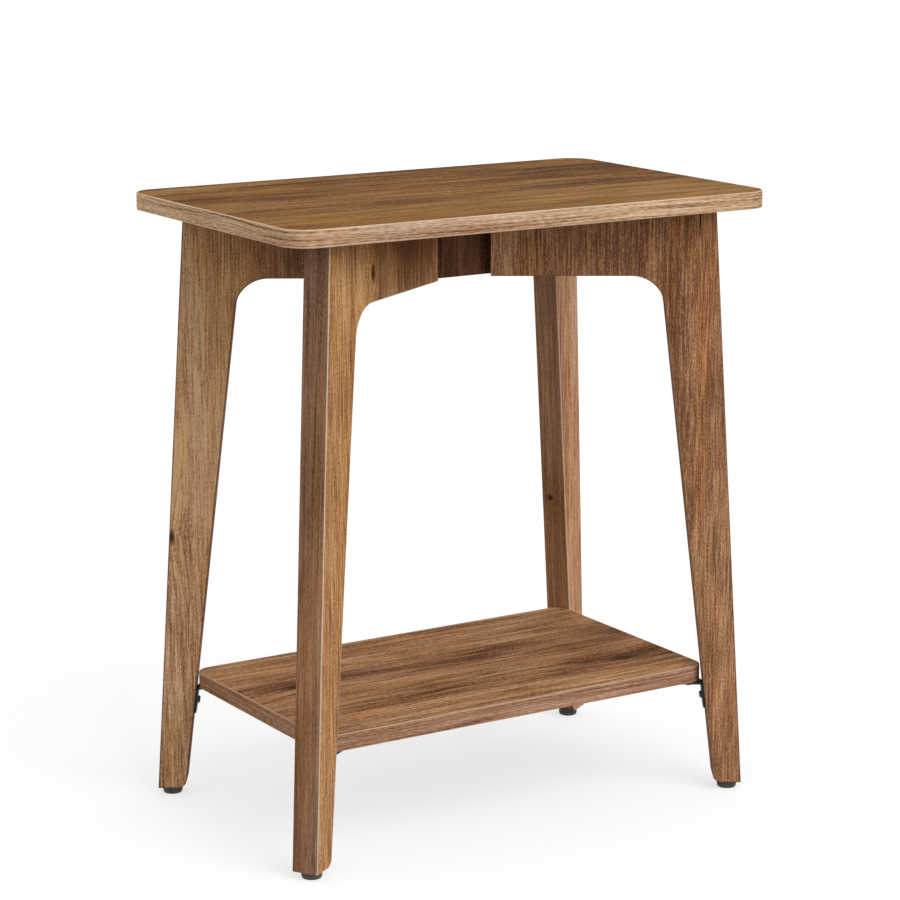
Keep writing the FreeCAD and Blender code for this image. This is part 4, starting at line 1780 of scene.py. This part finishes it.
    def build(self, palette: Palette) -> None:
        """Makes every fastener that can be seen and dresses the hidden ones.

        Args:
            palette: The finishes.
        """
        table = self.table
        up = Vector((0.0, 0.0, 1.0))
        corner, down, out = (v.to_3d() for v in (self.brackets.corner, table.inner_down, table.inner_out))
        strip = self.brackets.thickness
        shelf_seat = corner - Vector((self.screw_seat, strip, 0.0))
        leg_seat = corner + down * self.screw_seat - out * strip
        foot_seat = Vector((table.outer_foot - table.foot_inset, self.feet.recess, 0.0))
        bolt_level = table.wing_underside + table.bolt_sink
        bolt_seat = Vector((table.bolt_reach, bolt_level, 0.0))
        shelf_spots, foot_spots, bolt_spots = [], [], []
        for leg in Leg:
            board = leg.board_frame(table)
            square = board.to_3x3() @ out
            shelf_spots += [(board @ (shelf_seat * MM), up), (board @ (leg_seat * MM), square)]
            foot_spots.append((board @ (foot_seat * MM), up))
            bolt_spots.append((board @ (bolt_seat * MM), up))
        bolt_spots.append((up * bolt_level * MM, up))
        black = palette.screw.make()
        shelf_screw, foot_screw = self.wood_screw(self.bracket_screw), self.wood_screw(self.foot_screw)
        steel = palette.bolt.make()
        self.set_out("shelf_screws", shelf_screw, shelf_spots, black, "black_screw", "bracket_screws")
        self.set_out("turned_foot_screws", foot_screw, foot_spots, black, "black_screw", "foot_screws")
        self.set_out("socket_bolts", self.bolt(), bolt_spots, steel, "bolt_steel", "top_bolts")
        dress_node("insert_nuts", palette.insert.make())
        dress_node("wing_dowels", palette.dowel.make())


# ---------------------------------------------------------------- studio


@dataclass(frozen=True)
class Lamp:
    """Large, far lamp, by the direction that its light comes from."""

    name: str
    source: tuple[float, float, float]
    spread: float
    strength: float


@dataclass
class Studio:
    """Camera, pale floor and plain soft light."""

    lens: float = 115.05
    sensor: float = 36.0
    place: tuple[float, float, float] = (-1.336777, -2.120828, 0.870770)
    pitch: float = 12.446
    yaw: float = 32.214
    ambient: float = 0.6
    floor_tone: float = 0.45
    floor_glow: float = 0.66
    floor_half: float = 30.0
    lamps: tuple[Lamp, ...] = (
        Lamp("key", (0.2, -0.78, 0.6), 50.0, 1.35),
        Lamp("left_fill", (-0.9, -0.2, 0.35), 70.0, 0.25),
    )

    def camera(self) -> None:
        """Stands the camera at the viewing angle."""
        data = bpy.data.cameras.new("camera")
        data.lens = self.lens
        data.sensor_width = self.sensor
        camera = link(bpy.data.objects.new("camera", data))
        camera.location = self.place
        camera.rotation_euler = (math.radians(90.0 - self.pitch), 0.0, math.radians(-self.yaw))
        bpy.context.scene.camera = camera

    def lights(self) -> None:
        """Hangs the lamps."""
        for lamp in self.lamps:
            data = bpy.data.lights.new(lamp.name, "SUN")
            data.angle = math.radians(lamp.spread)
            data.energy = lamp.strength
            light = link(bpy.data.objects.new(lamp.name, data))
            light.rotation_euler = Vector(lamp.source).to_track_quat("Z", "Y").to_euler()

    def world(self) -> None:
        """Even light from all round, white where a ray meets it in view or in a reflection."""
        world = bpy.data.worlds.new("studio")
        world.use_nodes = True
        tree = Tree(world.node_tree)
        strength = self.ambient + seen_rays(tree) * (1.0 - self.ambient)
        inputs = {"Color": (1.0, 1.0, 1.0, 1.0), "Strength": strength}
        light = tree.add("ShaderNodeBackground", None, inputs)
        tree.finish("ShaderNodeOutputWorld", {"Surface": light})
        bpy.context.scene.world = world

    def floor(self) -> None:
        """Lays a pale floor that keeps the table's shadow."""
        shader = Shader("pale_floor")
        matt = shader.add("ShaderNodeBsdfDiffuse", None, {"Color": (*[self.floor_tone] * 3, 1.0)})
        glow = shader.add("ShaderNodeEmission", None, {"Strength": seen_rays(shader) * self.floor_glow})
        both = shader.add("ShaderNodeAddShader", None, {0: matt, 1: glow})
        shader.finish("ShaderNodeOutputMaterial", {"Surface": both})

        def build(work: bmesh.types.BMesh) -> None:
            """One large square."""
            bmesh.ops.create_grid(work, x_segments=1, y_segments=1, size=self.floor_half)

        mesh = new_mesh("floor", build)
        mesh.materials.append(shader.material)
        link(bpy.data.objects.new("floor", mesh))

    def build(self) -> None:
        """Makes the whole studio."""
        self.camera()
        self.lights()
        self.world()
        self.floor()
        bpy.context.scene.view_settings.view_transform = "Standard"


def seen_rays(tree: Tree) -> Sock:
    """Tells the rays that show a thing from those that light it.

    Args:
        tree: Builder of the tree.

    Returns:
        1 for a ray from the camera or a reflection, and 0 for others.
    """
    ray = tree.add("ShaderNodeLightPath", output="Is Camera Ray")
    seen = ray.maths("MAXIMUM", ray, ray.beside("Is Glossy Ray"))
    return seen.maths("MAXIMUM", seen, ray.beside("Is Transmission Ray"))


# ---------------------------------------------------------------- assembly


def main() -> None:
    """Dresses the table and sets it in its studio."""
    logging.basicConfig(level=logging.INFO, format="%(name)s: %(message)s")
    table, palette = Table(), Palette()
    Studio().build()
    Boards(table).dress(palette)
    bands = EdgeBands(table)
    top = (table.top_corner, table.top_thickness, table.height)
    bands.board("top", *top, "edge_band", palette.top_band)
    shelf = (table.shelf_corner, table.shelf_thickness, table.shelf_height)
    bands.board("shelf", *shelf, "edge_band", palette.shelf_band)
    bands.legs(palette.leg_band)
    brackets, feet = Brackets(table), Feet(table)
    brackets.build(palette.steel)
    feet.build(palette.foot)
    Fasteners(table, brackets, feet).build(palette)


if __name__ == "__main__":
    main()
